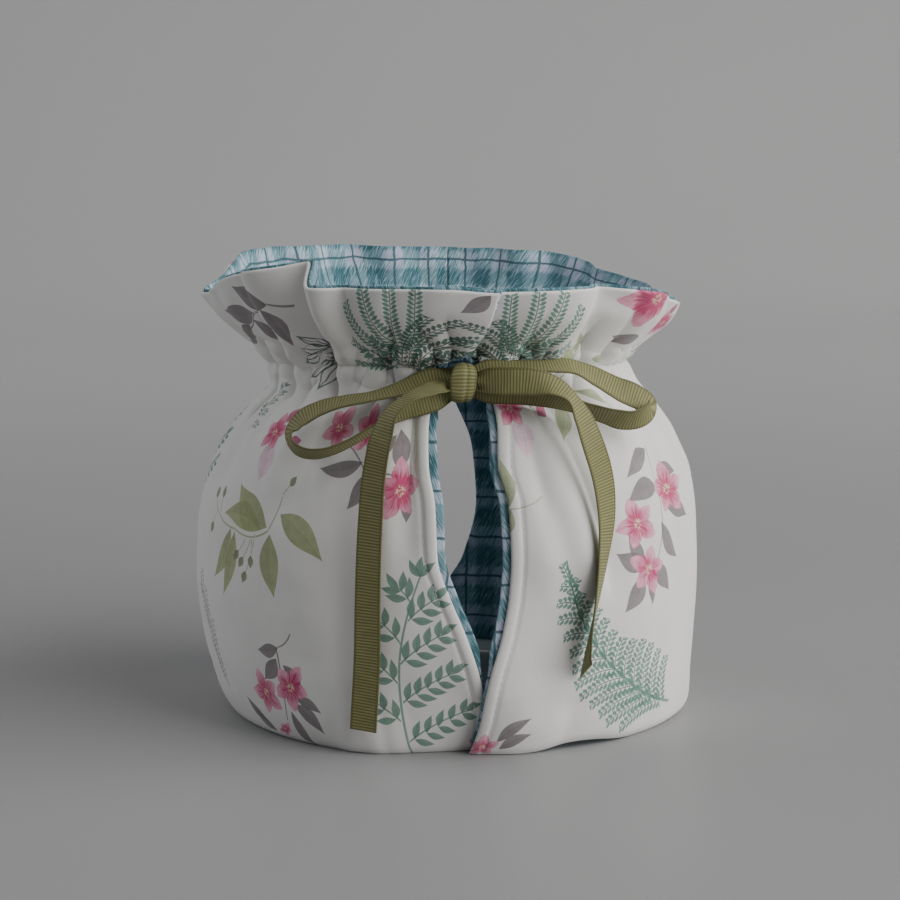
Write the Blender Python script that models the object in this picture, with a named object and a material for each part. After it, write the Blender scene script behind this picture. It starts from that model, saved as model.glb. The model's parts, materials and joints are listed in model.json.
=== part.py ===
"""A drawstring tea cosy, standing on its hem with the teapot left out.

Two printed cover panels, each with its own check lining, close round the pot. A ribbon gathers them at
the neck, under a standing frill, and is tied in a bow over the handle slit. The cosy is hollow.

The tables are in millimetres and degrees, the meshes in metres, with +Z up and the hem on z = 0. The
handle slit faces -Y. An angle is measured about the cosy's axis, from -Y at 0 towards +X at 90.

A place on the cloth is an angle and a level. A level up to NECK is a height above the hem. Above NECK it
runs on through the frill and reaches the rim at NECK + FRILL.
"""

from collections import namedtuple

import bpy
import numpy as np

MM = 0.001
AXIS = (0.3, 1.8, 0.0)  # the cosy's axis, placed so that the box round all pieces is centred

# Driving dimensions
NECK = 133.0  # level of the upper channel seam
FRILL = 36.0  # levels from the neck to the rim
NECK_LIFT = 5.0  # the handle pushes the neck up at the front
NECK_LIFT_FROM = 95.0
COVER_CLOTH = 1.5
LINING_CLOTH = 1.2
CLOTH_GAP = 0.5
LINING_FOOT = 4.0  # level where the lining starts, above the hem's turn
LINING_EDGE = 0.8  # lining seen past a cover's front edge, and along the handle slit
LINING_SLIT = 2.8
SLIT_FOOT, SLIT_TOP = (30.0, 42.0), (118.0, 126.0)  # levels where it widens and narrows
EDGE_REACH = 30.0  # degrees over which a front edge rises out of the round, or sinks into it
BACK_SEAM = 0.14  # half the gap between the two panels at the back, in degrees
RIBBON_WIDTH = 10.0
RIBBON_CLOTH = 1.0
KNOT = (12.0, 8.0, 11.0)  # across, deep, high
KNOT_ROUNDING = 2.5
KNOT_ANGLE, KNOT_RADIUS, KNOT_HEIGHT = 4.0, 73.5, 132.5
HEM_DRAW_TOP, HEM_LIFT_TOP = 45.0, 30.0  # levels where the hem's draw and lift have died away
NEARBY = 0.4  # degrees or levels to the neighbours that a normal is read from

Level = namedtuple("Level", "name height front right back left")
BODY = (
    Level("hem", 0, 84.6, 89.0, 82.5, 80.0),
    Level("hem turn", 4, 86.8, 91.6, 85.5, 84.0),
    Level("foot", 14, 89.6, 92.6, 89.0, 88.6),
    Level("low belly", 32, 92.0, 93.2, 92.3, 92.4),
    Level("belly", 52, 93.0, 93.6, 93.5, 94.2),
    Level("high belly", 72, 92.6, 93.2, 92.6, 93.0),
    Level("low shoulder", 90, 90.2, 91.0, 89.5, 88.8),
    Level("shoulder", 104, 85.8, 86.0, 84.6, 82.8),
    Level("high shoulder", 115, 78.6, 78.4, 76.4, 74.2),
    Level("lower channel seam", 123, 70.4, 71.0, 68.8, 66.8),
    Level("upper channel seam", NECK, 65.0, 62.6, 64.2, 64.0),
)

# How far the frill has spread towards the rim at each share of its height
Flare = namedtuple("Flare", "name share flare")
FLARE = (
    Flare("neck", 0.0, 0.0),
    Flare("foot", 0.14, 0.20),
    Flare("low", 0.40, 0.52),
    Flare("high", 0.70, 0.82),
    Flare("rim", 1.0, 1.0),
)

Rim = namedtuple("Rim", "name angle height radius")
RIM = (
    Rim("front", 0, 167.0, 88.5),
    Rim("flap corner", 11, 165.8, 89.0),
    Rim("right front", 24, 165.8, 89.5),
    Rim("right hollow", 39, 165.5, 87.0),
    Rim("right ridge", 52, 163.5, 89.0),
    Rim("right crease", 68, 159.5, 87.5),
    Rim("right tip", 88, 154.5, 86.5),
    Rim("right back dip", 112, 156.0, 87.5),
    Rim("right back", 134, 160.8, 88.0),
    Rim("back ridge", 156, 166.6, 88.0),
    Rim("back", 180, 167.2, 87.5),
    Rim("back left ridge", 205, 168.6, 88.0),
    Rim("left back", 236, 170.0, 87.5),
    Rim("left back slope", 254, 165.5, 90.0),
    Rim("left tip", 271, 158.0, 91.0),
    Rim("left side", 297, 167.5, 89.0),
    Rim("left crest", 314, 172.0, 86.5),
    Rim("pleat back", 321.5, 174.2, 82.0),
    Rim("pleat lip", 328, 166.3, 89.5),
    Rim("front left", 338, 166.6, 89.0),
)

# How far the hem is off the ground, and drawn in, at places round it
Hem = namedtuple("Hem", "name angle lift draw")
HEM = (
    Hem("lap", 4, 0.0, 5.0),
    Hem("right of lap", 18, 0.0, 1.0),
    Hem("raised hem", 33, 2.2, 0.0),
    Hem("right front", 50, 0.0, 0.5),
    Hem("right side", 95, 0.0, 0.0),
    Hem("right back", 150, 0.0, 2.0),
    Hem("back", 185, 1.2, 3.0),
    Hem("left back", 225, 0.0, 0.0),
    Hem("left side", 270, 0.0, 0.5),
    Hem("left front", 325, 0.0, 0.0),
    Hem("left pucker", 343, 0.0, -1.2),
    Hem("left of lap", 352, 0.0, 3.0),
)

# Angles at the low level, midway and at the high level. A positive depth stands out of the round.
Fold = namedtuple("Fold", "name foot middle top low high half_width depth")
FOLDS = (
    Fold("roll beside the slit", 33, 27, 17, 48, 134, 4.5, 4.6),
    Fold("trough behind the roll", 42, 35, 26, 46, 132, 5.0, -3.6),
    Fold("right front swell", 50, 49, 46, 30, 125, 9.0, 1.6),
    Fold("right front gather", 60, 58, 56, 78, 130, 4.5, -2.2),
    Fold("right gather", 78, 77, 76, 84, 130, 5.0, -2.0),
    Fold("right back gather", 101, 99, 98, 70, 130, 6.0, -2.4),
    Fold("back right drape", 124, 126, 128, 40, 128, 7.0, -2.4),
    Fold("back gather", 148, 150, 151, 74, 130, 5.5, -2.4),
    Fold("back slit roll", 196, 195, 194, 30, 128, 6.0, 2.0),
    Fold("back left drape", 215, 213, 212, 55, 130, 6.0, -2.6),
    Fold("left back gather", 240, 239, 238, 80, 130, 5.5, -2.2),
    Fold("left gather", 262, 263, 264, 72, 130, 6.0, -2.2),
    Fold("left front gather", 290, 292, 294, 82, 130, 5.0, -2.4),
    Fold("left shoulder crease", 320, 322, 324, 76, 131, 4.5, -2.4),
    Fold("left front drape", 338, 339, 341, 20, 120, 7.0, -1.6),
    Fold("left slit crease", 352, 352, 352, 62, 128, 3.5, -1.6),
    Fold("frill front hollow", 334, 335, 336, 128, 188, 5.0, -3.2),
    Fold("frill pleat lip", 327, 327, 327.5, 130, 188, 4.0, 2.0),
    Fold("frill pleat", 319, 319, 320, 126, 188, 6.5, -4.6),
    Fold("frill left ridge", 310, 310, 308, 126, 188, 6.0, 2.6),
    Fold("frill left hollow", 296, 295, 293, 126, 188, 7.0, -2.4),
    Fold("frill left crease", 280, 279, 278, 126, 188, 5.0, -1.8),
    Fold("frill left back", 258, 256, 254, 126, 188, 6.0, -3.4),
    Fold("frill left back ridge", 243, 242, 241, 126, 188, 6.0, 2.2),
    Fold("frill back left", 226, 226, 227, 126, 188, 6.0, -4.0),
    Fold("frill back ridge", 208, 209, 210, 126, 188, 6.0, 2.4),
    Fold("frill back", 191, 192, 194, 126, 188, 6.0, -3.8),
    Fold("frill back right", 164, 163, 161, 126, 188, 6.0, -4.2),
    Fold("frill right back ridge", 147, 147, 146, 126, 188, 6.0, 2.2),
    Fold("frill right back", 128, 128, 129, 126, 188, 6.0, -3.6),
    Fold("frill right side", 106, 105, 104, 126, 188, 5.5, -2.6),
    Fold("frill right crease", 78, 75, 71, 126, 188, 5.0, -2.8),
    Fold("frill right ridge", 61, 57, 52, 126, 188, 5.0, 2.4),
    Fold("frill right hollow", 49, 45, 39, 126, 188, 6.0, -5.0),
)

# The front edges of the two panels, and how far each stands out of the round there
Edge = namedtuple("Edge", "name level left right left_lift right_lift")
EDGES = (
    Edge("hem lap", 0, 11.0, 5.4, -2.6, 2.6),
    Edge("lap", 12, 10.0, 7.5, -2.6, 2.6),
    Edge("slit foot", 22, 8.7, 8.4, -2.2, 2.4),
    Edge("low slit", 32, 7.0, 9.6, -0.4, 1.6),
    Edge("slit", 46, 4.0, 11.8, 0.8, 1.4),
    Edge("wide slit", 60, 0.5, 13.2, 1.4, 1.6),
    Edge("left bend", 72, -1.9, 13.6, 1.6, 1.8),
    Edge("high slit", 92, -2.6, 13.2, 1.8, 1.8),
    Edge("slit shoulder", 104, -4.1, 11.6, 1.4, 1.4),
    Edge("slit top", 118, -4.6, 12.6, 0.6, 0.8),
    Edge("channel mouth", 128, -4.2, 12.8, 0.0, 0.0),
    Edge("channel top", NECK, -3.4, 12.0, 0.2, -0.2),
    Edge("frill foot", 139, 5.2, 5.0, 3.4, -3.4),
    Edge("frill low", 147, 8.6, 1.5, 3.6, -3.6),
    Edge("frill high", 158, 10.4, -0.5, 3.4, -3.4),
    Edge("rim", NECK + FRILL, 11.3, -2.0, 3.0, -3.0),
)

# The back seam opens into a plain spout slit between its two levels
Spout = namedtuple("Spout", "name level half_angle")
SPOUT = (
    Spout("hem", 0, BACK_SEAM),
    Spout("seam foot", 26, BACK_SEAM),
    Spout("low slit", 38, 4.0),
    Spout("slit", 62, 7.5),
    Spout("high slit", 86, 6.5),
    Spout("slit top", 104, 2.5),
    Spout("seam top", 112, BACK_SEAM),
    Spout("rim", NECK + FRILL, BACK_SEAM),
)

# The ribbon's centre line and the turn of its face away from facing out
Turn = namedtuple("Turn", "angle radius height tilt")
LEFT_END = (
    Turn(-2.4, 67.0, 131.8, 0),
    Turn(0.5, 69.5, 132.2, 0),
    Turn(4.0, 71.5, 132.5, 0),
)
RIGHT_END = (
    Turn(10.8, 67.0, 131.8, 0),
    Turn(8.0, 69.5, 132.2, 0),
    Turn(4.0, 71.5, 132.5, 0),
)
LEFT_LOOP = (
    Turn(2.0, 71.0, 133.4, 15),
    Turn(-5.0, 73.6, 132.8, 26),
    Turn(-12.0, 77.2, 130.4, 48),
    Turn(-20.0, 81.5, 127.5, 57),
    Turn(-27.0, 83.5, 125.4, 52),
    Turn(-32.5, 86.5, 122.4, 42),
    Turn(-36.0, 90.0, 118.2, 30),
    Turn(-36.8, 92.8, 114.0, 26),
    Turn(-35.0, 94.5, 110.4, 36),
    Turn(-31.0, 95.2, 108.4, 56),
    Turn(-26.3, 94.2, 109.3, 72),
    Turn(-21.5, 91.5, 112.8, 79),
    Turn(-16.5, 88.0, 117.8, 78),
    Turn(-10.5, 83.4, 123.0, 56),
    Turn(-4.0, 79.0, 127.0, 20),
    Turn(2.5, 75.0, 130.0, 8),
)
RIGHT_LOOP = (
    Turn(5.5, 71.5, 133.5, -20),
    Turn(13.0, 73.0, 136.2, -44),
    Turn(20.0, 75.4, 137.4, -68),
    Turn(27.0, 79.0, 137.8, -72),
    Turn(33.0, 81.5, 137.4, -60),
    Turn(38.0, 84.5, 134.0, -38),
    Turn(42.0, 89.0, 129.6, -16),
    Turn(45.4, 93.5, 125.8, 2),
    Turn(47.2, 96.5, 122.4, 4),
    Turn(45.6, 97.5, 119.4, -8),
    Turn(41.8, 96.0, 118.6, -36),
    Turn(38.0, 93.0, 120.2, -58),
    Turn(33.5, 88.0, 122.9, -66),
    Turn(28.0, 85.4, 125.8, -56),
    Turn(20.0, 81.8, 128.6, -36),
    Turn(12.5, 78.2, 129.6, -22),
    Turn(5.0, 74.5, 130.6, -15),
)
LEFT_TAIL = (
    Turn(1.0, 75.0, 132.5, 20),
    Turn(-4.5, 84.0, 131.4, 30),
    Turn(-8.8, 90.5, 129.4, 54),
    Turn(-11.9, 94.5, 124.5, 47),
    Turn(-13.4, 96.6, 117.0, 32),
    Turn(-14.8, 97.8, 105.0, 22),
    Turn(-15.8, 98.4, 84.0, 14),
    Turn(-16.4, 98.2, 59.0, 9),
    Turn(-16.8, 97.2, 37.0, 3),
    Turn(-18.2, 94.8, 10.5, 0),
)
RIGHT_TAIL = (
    Turn(6.0, 76.0, 132.8, -5),
    Turn(13.5, 83.0, 133.6, -8),
    Turn(19.5, 88.0, 133.6, -18),
    Turn(23.8, 92.5, 132.4, -44),
    Turn(26.6, 96.0, 129.2, -50),
    Turn(28.6, 98.2, 122.5, -28),
    Turn(30.6, 99.3, 113.5, -12),
    Turn(33.2, 99.8, 100.0, -8),
    Turn(34.3, 99.8, 85.0, -18),
    Turn(33.4, 100.0, 71.0, -34),
    Turn(31.8, 100.6, 57.0, -48),
    Turn(30.2, 100.8, 43.5, -60),
    Turn(29.2, 100.6, 31.5, -76),
)
TAIL_SLANT = 3.5  # how far the right tail's cut end slopes across the ribbon

# Where the grid of the cloth has its lines
LEVELS = (0, 4, 13, 22, 34, 52, 72, 90, 104, 115, 124, NECK, 139, 148, 158.5, NECK + FRILL)
COLUMNS = 35
FRONT_CROWDING = 0.35  # 0 spaces the columns evenly, 1 crowds them hard towards the front


def slopes_at(stops, values):
    """Slopes that keep a curve through the values smooth and free of overshoot."""
    steps = np.diff(values) / np.diff(stops)
    before, after = steps[:-1], steps[1:]
    same_way = before * after > 0
    total = np.where(same_way, before + after, 1.0)
    inner = np.where(same_way, 2 * before * after / total, 0.0)
    return np.concatenate([steps[:1], inner, steps[-1:]])


def curve(stops, values, at):
    """The smooth curve through a table's values, read at some places."""
    stops, values = np.asarray(stops, float), np.asarray(values, float)
    slopes = slopes_at(stops, values)
    at = np.clip(at, stops[0], stops[-1])
    i = np.clip(np.searchsorted(stops, at, side="right") - 1, 0, len(stops) - 2)
    span = stops[i + 1] - stops[i]
    t = (at - stops[i]) / span
    rise = t * t * (3 - 2 * t)
    leave = t * (1 - t) ** 2 * span * slopes[i]
    arrive = t * t * (t - 1) * span * slopes[i + 1]
    return values[i] + (values[i + 1] - values[i]) * rise + leave + arrive


def round_curve(table, column, angle):
    """The same for a table that runs round the cosy once."""
    stops = np.array([row.angle for row in table], float)
    values = np.array([getattr(row, column) for row in table], float)
    stops = np.concatenate([stops - 360, stops, stops + 360])
    return curve(stops, np.tile(values, 3), np.mod(angle, 360))


def column_curve(table, column, level):
    return curve([row.level for row in table], [getattr(row, column) for row in table], level)


def step(low, high, at):
    t = np.clip((at - low) / (high - low), 0, 1)
    return t * t * (3 - 2 * t)


def body_radius(angle, level):
    heights = [row.height for row in BODY]
    front, right, back, left = (
        curve(heights, [getattr(row, side) for row in BODY], level)
        for side in ("front", "right", "back", "left")
    )
    ahead, aside = np.cos(np.radians(angle)), np.sin(np.radians(angle))
    along = np.where(ahead > 0, front, back) * ahead**2
    across = np.where(aside > 0, right, left) * aside**2
    return along + across


def fold_depth(angle, level):
    """All folds together: each is a soft ridge or trough along its own path up the cloth."""
    depth = np.zeros(np.broadcast(angle, level).shape)
    for fold in FOLDS:
        t = (level - fold.low) / (fold.high - fold.low)
        straight = fold.foot + (fold.top - fold.foot) * t
        bow = 4 * t * (1 - t) * (fold.middle - (fold.foot + fold.top) / 2)
        off = np.mod(angle - straight - bow + 180, 360) - 180
        fade = step(0, 0.3, t) * (1 - step(0.75, 1, t))
        depth = depth + fold.depth * fade * np.exp(-((off / fold.half_width) ** 2))
    return depth


def front_edge(level, side):
    """The angle of a panel's front edge at a level, and how far it stands out of the round there."""
    column = "left" if side < 0 else "right"
    return column_curve(EDGES, column, level), column_curve(EDGES, column + "_lift", level)


def cloth(angle, level, side):
    """Points on the face where cover and lining meet. Side is -1 on the left panel, 1 on the right."""
    angle, level = np.broadcast_arrays(np.asarray(angle, float), np.asarray(level, float))
    share = np.clip((level - NECK) / FRILL, 0, 1)
    flare = curve([row.share for row in FLARE], [row.flare for row in FLARE], share)
    radius = body_radius(angle, np.minimum(level, NECK))
    radius = radius + flare * (round_curve(RIM, "radius", angle) - radius)
    radius = radius - round_curve(HEM, "draw", angle) * (1 - step(0, HEM_DRAW_TOP, level))
    edge, lift = front_edge(level, side)
    radius = radius + lift * (1 - step(0, 1, np.abs(angle - edge) / EDGE_REACH))
    radius = radius + fold_depth(angle, level)
    ahead = np.clip(np.cos(np.radians(angle)), 0, 1)
    height = np.minimum(level, NECK) + NECK_LIFT * ahead**2 * step(NECK_LIFT_FROM, NECK, level)
    height = height + share * (round_curve(RIM, "height", angle) - height)
    height = height + round_curve(HEM, "lift", angle) * (1 - step(0, HEM_LIFT_TOP, level))
    turn = np.radians(angle)
    return np.stack([radius * np.sin(turn), -radius * np.cos(turn), height], -1)


def outward(angle, level, side):
    """Unit normals of the cloth. They lie flat at the hem, so that its cut edge is level."""
    along = cloth(angle + NEARBY, level, side) - cloth(angle - NEARBY, level, side)
    up = cloth(angle, level + NEARBY, side) - cloth(angle, np.maximum(level - NEARBY, 0), side)
    normal = np.cross(along, up)
    normal[..., 2] *= step(0, LINING_FOOT, level)
    return normal / np.linalg.norm(normal, axis=-1, keepdims=True)


def panel_grid(side, levels, past_edge):
    """Angles and levels of a panel's grid, its columns from the front edge to the back seam."""
    level = np.array(levels, float)
    edge, _ = front_edge(level, side)
    back = side * (180 - column_curve(SPOUT, "half_angle", level))
    along = np.linspace(0, 1, COLUMNS)
    along = along - FRONT_CROWDING * np.sin(2 * np.pi * along) / (2 * np.pi)
    angle = edge[:, None] + (back - edge)[:, None] * along
    if past_edge is not None:
        reach = np.degrees(past_edge / body_radius(edge, np.minimum(level, NECK)))
        angle = np.concatenate([(edge - side * reach)[:, None], angle], axis=1)
    return angle, np.broadcast_to(level[:, None], angle.shape)


def grid_faces(rows, columns):
    """Triangles of a grid, all cut along the same diagonal."""
    corner = np.arange(rows * columns).reshape(rows, columns)
    a, b = corner[:-1, :-1].ravel(), corner[:-1, 1:].ravel()
    c, d = corner[1:, 1:].ravel(), corner[1:, :-1].ravel()
    return np.concatenate([np.stack([a, b, c], 1), np.stack([a, c, d], 1)])


def rim_faces(rows, columns, inner):
    """Triangles that close the edge between an outer grid and an inner one that starts at a number."""
    corner = np.arange(rows * columns).reshape(rows, columns)
    loop = np.concatenate([corner[0], corner[1:, -1], corner[-1, -2::-1], corner[-2:0:-1, 0]])
    after = np.roll(loop, -1)
    first = np.stack([after, loop, loop + inner], 1)
    second = np.stack([after, loop + inner, after + inner], 1)
    return np.concatenate([first, second])


def sheet_between(name, outer, inner):
    """A closed sheet of cloth between two grids of points, counted anticlockwise from outside."""
    rows, columns = outer.shape[:2]
    count = rows * columns
    outside = grid_faces(rows, columns)
    faces = np.concatenate(
        [outside, outside[:, ::-1] + count, rim_faces(rows, columns, count)]
    )
    points = (np.concatenate([outer.reshape(-1, 3), inner.reshape(-1, 3)]) + AXIS) * MM
    return mesh_object(name, points, faces)


def mesh_object(name, points, faces):
    mesh = bpy.data.meshes.new(name)
    mesh.from_pydata(points.tolist(), [], faces.tolist())
    mesh.shade_smooth()
    made = bpy.data.objects.new(name, mesh)
    bpy.context.scene.collection.objects.link(made)
    return made


def cloth_panel(name, side, levels, top, bottom, past_edge=None):
    """A panel whose faces lie at two distances outside the cloth's own face."""
    angle, level = panel_grid(side, levels, past_edge)
    if side < 0:
        angle, level = angle[:, ::-1], level[:, ::-1]
    place, normal = cloth(angle, level, side), outward(angle, level, side)
    return sheet_between(name, place + top * normal, place + bottom * normal)


def add_cover(name, side):
    return cloth_panel(name, side, LEVELS, COVER_CLOTH, 0.0)


def add_lining(name, side):
    levels = np.array([level for level in LEVELS if level >= LINING_FOOT], float)
    shown = step(*SLIT_FOOT, levels) * (1 - step(*SLIT_TOP, levels))
    past_edge = LINING_EDGE + (LINING_SLIT - LINING_EDGE) * shown
    return cloth_panel(name, side, levels, -CLOTH_GAP, -CLOTH_GAP - LINING_CLOTH, past_edge)


def place_of(turn):
    around = np.radians(turn.angle)
    return np.array([turn.radius * np.sin(around), -turn.radius * np.cos(around), turn.height])


def add_band(name, turns, slant=0.0):
    """A length of ribbon swept along its centre line, its face turned by each point's tilt."""
    centre = np.array([place_of(turn) for turn in turns])
    tilt = [turn.tilt for turn in turns]
    along = np.gradient(centre, axis=0)
    along /= np.linalg.norm(along, axis=1, keepdims=True)
    out = centre * (1, 1, 0)
    out -= along * (out * along).sum(1, keepdims=True)
    out /= np.linalg.norm(out, axis=1, keepdims=True)
    across = np.cross(along, out)
    turn = np.radians(tilt)[:, None]
    face = out * np.cos(turn) + across * np.sin(turn)
    wide = across * np.cos(turn) - out * np.sin(turn)
    half = RIBBON_WIDTH / 2
    cut = along * slant * step(len(centre) - 2, len(centre) - 1, np.arange(len(centre)))[:, None]
    left, right = centre - wide * half + cut, centre + wide * half - cut
    strip = np.stack([left, right], 1)
    lift = face[:, None, :] * RIBBON_CLOTH / 2
    return sheet_between(name, strip + lift, strip - lift)


def add_knot(name):
    """The knot: a small rounded block that the ends, loops and tails run into."""
    bpy.ops.mesh.primitive_cube_add(size=1)
    knot = bpy.context.object
    knot.name = knot.data.name = name
    centre = place_of(Turn(KNOT_ANGLE, KNOT_RADIUS, KNOT_HEIGHT, 0)) + AXIS
    for corner in knot.data.vertices:
        corner.co = (np.array(corner.co) * KNOT + centre) * MM
    soften = knot.modifiers.new("soft edges", "BEVEL")
    soften.width = KNOT_ROUNDING * MM
    soften.segments = 2
    return knot


def add_bow(name):
    knot = add_knot(name)
    bands = (
        ("left end", LEFT_END, 0.0),
        ("right end", RIGHT_END, 0.0),
        ("left loop", LEFT_LOOP, 0.0),
        ("right loop", RIGHT_LOOP, 0.0),
        ("left tail", LEFT_TAIL, 0.0),
        ("right tail", RIGHT_TAIL, TAIL_SLANT),
    )
    for band_name, turns, slant in bands:
        band = add_band(band_name, turns, slant=slant)
        band.hide_render = True
        band.display_type = "WIRE"
        join = knot.modifiers.new(band_name, "BOOLEAN")
        join.operation = "UNION"
        join.object = band
    return knot


def finish(made, name, colour, roughness):
    material = bpy.data.materials.new(name)
    material.use_nodes = True
    shader = material.node_tree.nodes["Principled BSDF"]
    shader.inputs["Base Color"].default_value = (*colour, 1)
    shader.inputs["Roughness"].default_value = roughness
    shader.inputs["Metallic"].default_value = 0.0
    made.data.materials.append(material)


def main():
    for old in list(bpy.data.objects):
        bpy.data.objects.remove(old, do_unlink=True)
    finish(add_cover("cover_left", -1), "printed cotton left", (0.78, 0.76, 0.72), 0.85)
    finish(add_cover("cover_right", 1), "printed cotton right", (0.78, 0.76, 0.72), 0.85)
    finish(add_lining("lining_left", -1), "check cotton left", (0.30, 0.48, 0.55), 0.85)
    finish(add_lining("lining_right", 1), "check cotton right", (0.30, 0.48, 0.55), 0.85)
    finish(add_bow("ribbon_bow"), "ribbed ribbon", (0.12, 0.12, 0.04), 0.6)


main()
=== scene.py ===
"""The looks of a drawstring tea cosy that stands on its hem, with the teapot left out.

Two printed cover panels, each with its own check lining, close round the pot. A ribbed ribbon gathers
them at the neck, under a standing frill, and is tied in a bow over the handle slit.

Shapes are worked out in millimetres and degrees, and turn into metres where a mesh is made. The handle
slit faces -Y. An angle is measured about the cosy's axis, from -Y at 0 towards +X at 90. A level is a
height above the hem up to NECK, and from there it runs on through the frill to RIM.
"""

import json
import logging
import math
from dataclasses import dataclass, field
from enum import Enum, IntEnum
from typing import Callable, NamedTuple, Sequence

import bpy
import numpy as np
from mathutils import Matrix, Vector


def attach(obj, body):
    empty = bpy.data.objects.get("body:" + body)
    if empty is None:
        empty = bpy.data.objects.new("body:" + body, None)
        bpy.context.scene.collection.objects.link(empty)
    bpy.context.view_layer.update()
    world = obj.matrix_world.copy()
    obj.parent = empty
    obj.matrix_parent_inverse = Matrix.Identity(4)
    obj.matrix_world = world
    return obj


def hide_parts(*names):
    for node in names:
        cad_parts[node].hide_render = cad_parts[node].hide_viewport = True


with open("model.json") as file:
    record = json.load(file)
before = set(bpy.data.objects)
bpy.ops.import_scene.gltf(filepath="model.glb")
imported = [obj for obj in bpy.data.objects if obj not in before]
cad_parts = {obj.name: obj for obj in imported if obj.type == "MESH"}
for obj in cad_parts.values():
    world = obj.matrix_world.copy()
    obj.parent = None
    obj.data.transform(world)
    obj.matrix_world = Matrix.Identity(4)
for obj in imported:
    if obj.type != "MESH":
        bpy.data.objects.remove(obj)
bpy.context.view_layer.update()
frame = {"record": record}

LOG = logging.getLogger("tea_cosy")
Array = np.ndarray
Colour = tuple[float, float, float]

MM = 0.001
MOUNTS = {mount["name"]: mount for mount in frame["record"]["mounts"]}
AXIS = np.array(MOUNTS["teapot"]["pos_m"]) / MM  # the cosy's own axis
NECK = 133.0
FRILL = 36.0
RIM = NECK + FRILL
BELLY_RADIUS = 93.0  # flat cloth is measured round the belly, where it isn't gathered
PER_DEGREE = BELLY_RADIUS * math.pi / 180
UV_SPAN = 300.0  # millimetres of flat cloth to one unit of its UV map
CLOTH_MAP = "Cloth"


def table(kind: type, *rows: tuple) -> tuple:
    """The rows of a table, each with the named columns of its kind."""
    return tuple(kind(*row) for row in rows)


# --- The form of the cloth ---


class Level(NamedTuple):
    """Radii of the body at one height, towards four sides."""

    name: str
    height: float
    front: float
    right: float
    back: float
    left: float


BODY = table(
    Level,
    ("hem", 0, 84.6, 89.0, 82.5, 80.0),
    ("hem turn", 4, 86.8, 91.6, 85.5, 84.0),
    ("foot", 14, 89.6, 92.6, 89.0, 88.6),
    ("low belly", 32, 92.0, 93.2, 92.3, 92.4),
    ("belly", 52, 93.0, 93.6, 93.5, 94.2),
    ("high belly", 72, 92.6, 93.2, 92.6, 93.0),
    ("low shoulder", 90, 90.2, 91.0, 89.5, 88.8),
    ("shoulder", 104, 85.8, 86.0, 84.6, 82.8),
    ("high shoulder", 115, 78.6, 78.4, 76.4, 74.2),
    ("lower channel seam", 123, 70.4, 71.0, 68.8, 66.8),
    ("upper channel seam", NECK, 65.0, 62.6, 64.2, 64.0),
)


class Flare(NamedTuple):
    """How far the frill has spread towards the rim at a share of its height."""

    name: str
    share: float
    flare: float


FLARE = table(
    Flare,
    ("neck", 0.0, 0.0),
    ("foot", 0.14, 0.20),
    ("low", 0.40, 0.52),
    ("high", 0.70, 0.82),
    ("rim", 1.0, 1.0),
)


class RimPoint(NamedTuple):
    """A place on the frill's upper edge."""

    name: str
    angle: float
    height: float
    radius: float


RIM_LINE = table(
    RimPoint,
    ("front", 0, 167.0, 88.5),
    ("flap corner", 11, 165.8, 89.0),
    ("right front", 24, 165.8, 89.5),
    ("right hollow", 39, 165.5, 87.0),
    ("right ridge", 52, 163.5, 89.0),
    ("right crease", 68, 159.5, 87.5),
    ("right tip", 88, 154.5, 86.5),
    ("right back dip", 112, 156.0, 87.5),
    ("right back", 134, 160.8, 88.0),
    ("back ridge", 156, 166.6, 88.0),
    ("back", 180, 167.2, 87.5),
    ("back left ridge", 205, 168.6, 88.0),
    ("left back", 236, 170.0, 87.5),
    ("left back slope", 254, 165.5, 90.0),
    ("left tip", 271, 158.0, 91.0),
    ("left side", 297, 167.5, 89.0),
    ("left crest", 314, 172.0, 86.5),
    ("pleat back", 321.5, 174.2, 82.0),
    ("pleat lip", 328, 166.3, 89.5),
    ("front left", 338, 166.6, 89.0),
)


class HemPoint(NamedTuple):
    """How far the hem is off the ground, and drawn in, at a place round it."""

    name: str
    angle: float
    lift: float
    draw: float


HEM = table(
    HemPoint,
    ("lap", 4, 0.0, 5.0),
    ("right of lap", 18, 0.0, 1.0),
    ("raised hem", 33, 2.2, 0.0),
    ("right front", 50, 0.0, 0.5),
    ("right side", 95, 0.0, 0.0),
    ("right back", 150, 0.0, 2.0),
    ("back", 185, 1.2, 3.0),
    ("left back", 225, 0.0, 0.0),
    ("left side", 270, 0.0, 0.5),
    ("left front", 325, 0.0, 0.0),
    ("left pucker", 343, 0.0, -1.2),
    ("left of lap", 352, 0.0, 3.0),
)


class Fold(NamedTuple):
    """A ridge, or a trough if its depth is negative, from a low level to a high one."""

    name: str
    foot: float
    middle: float
    top: float
    low: float
    high: float
    half_width: float
    depth: float


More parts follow.
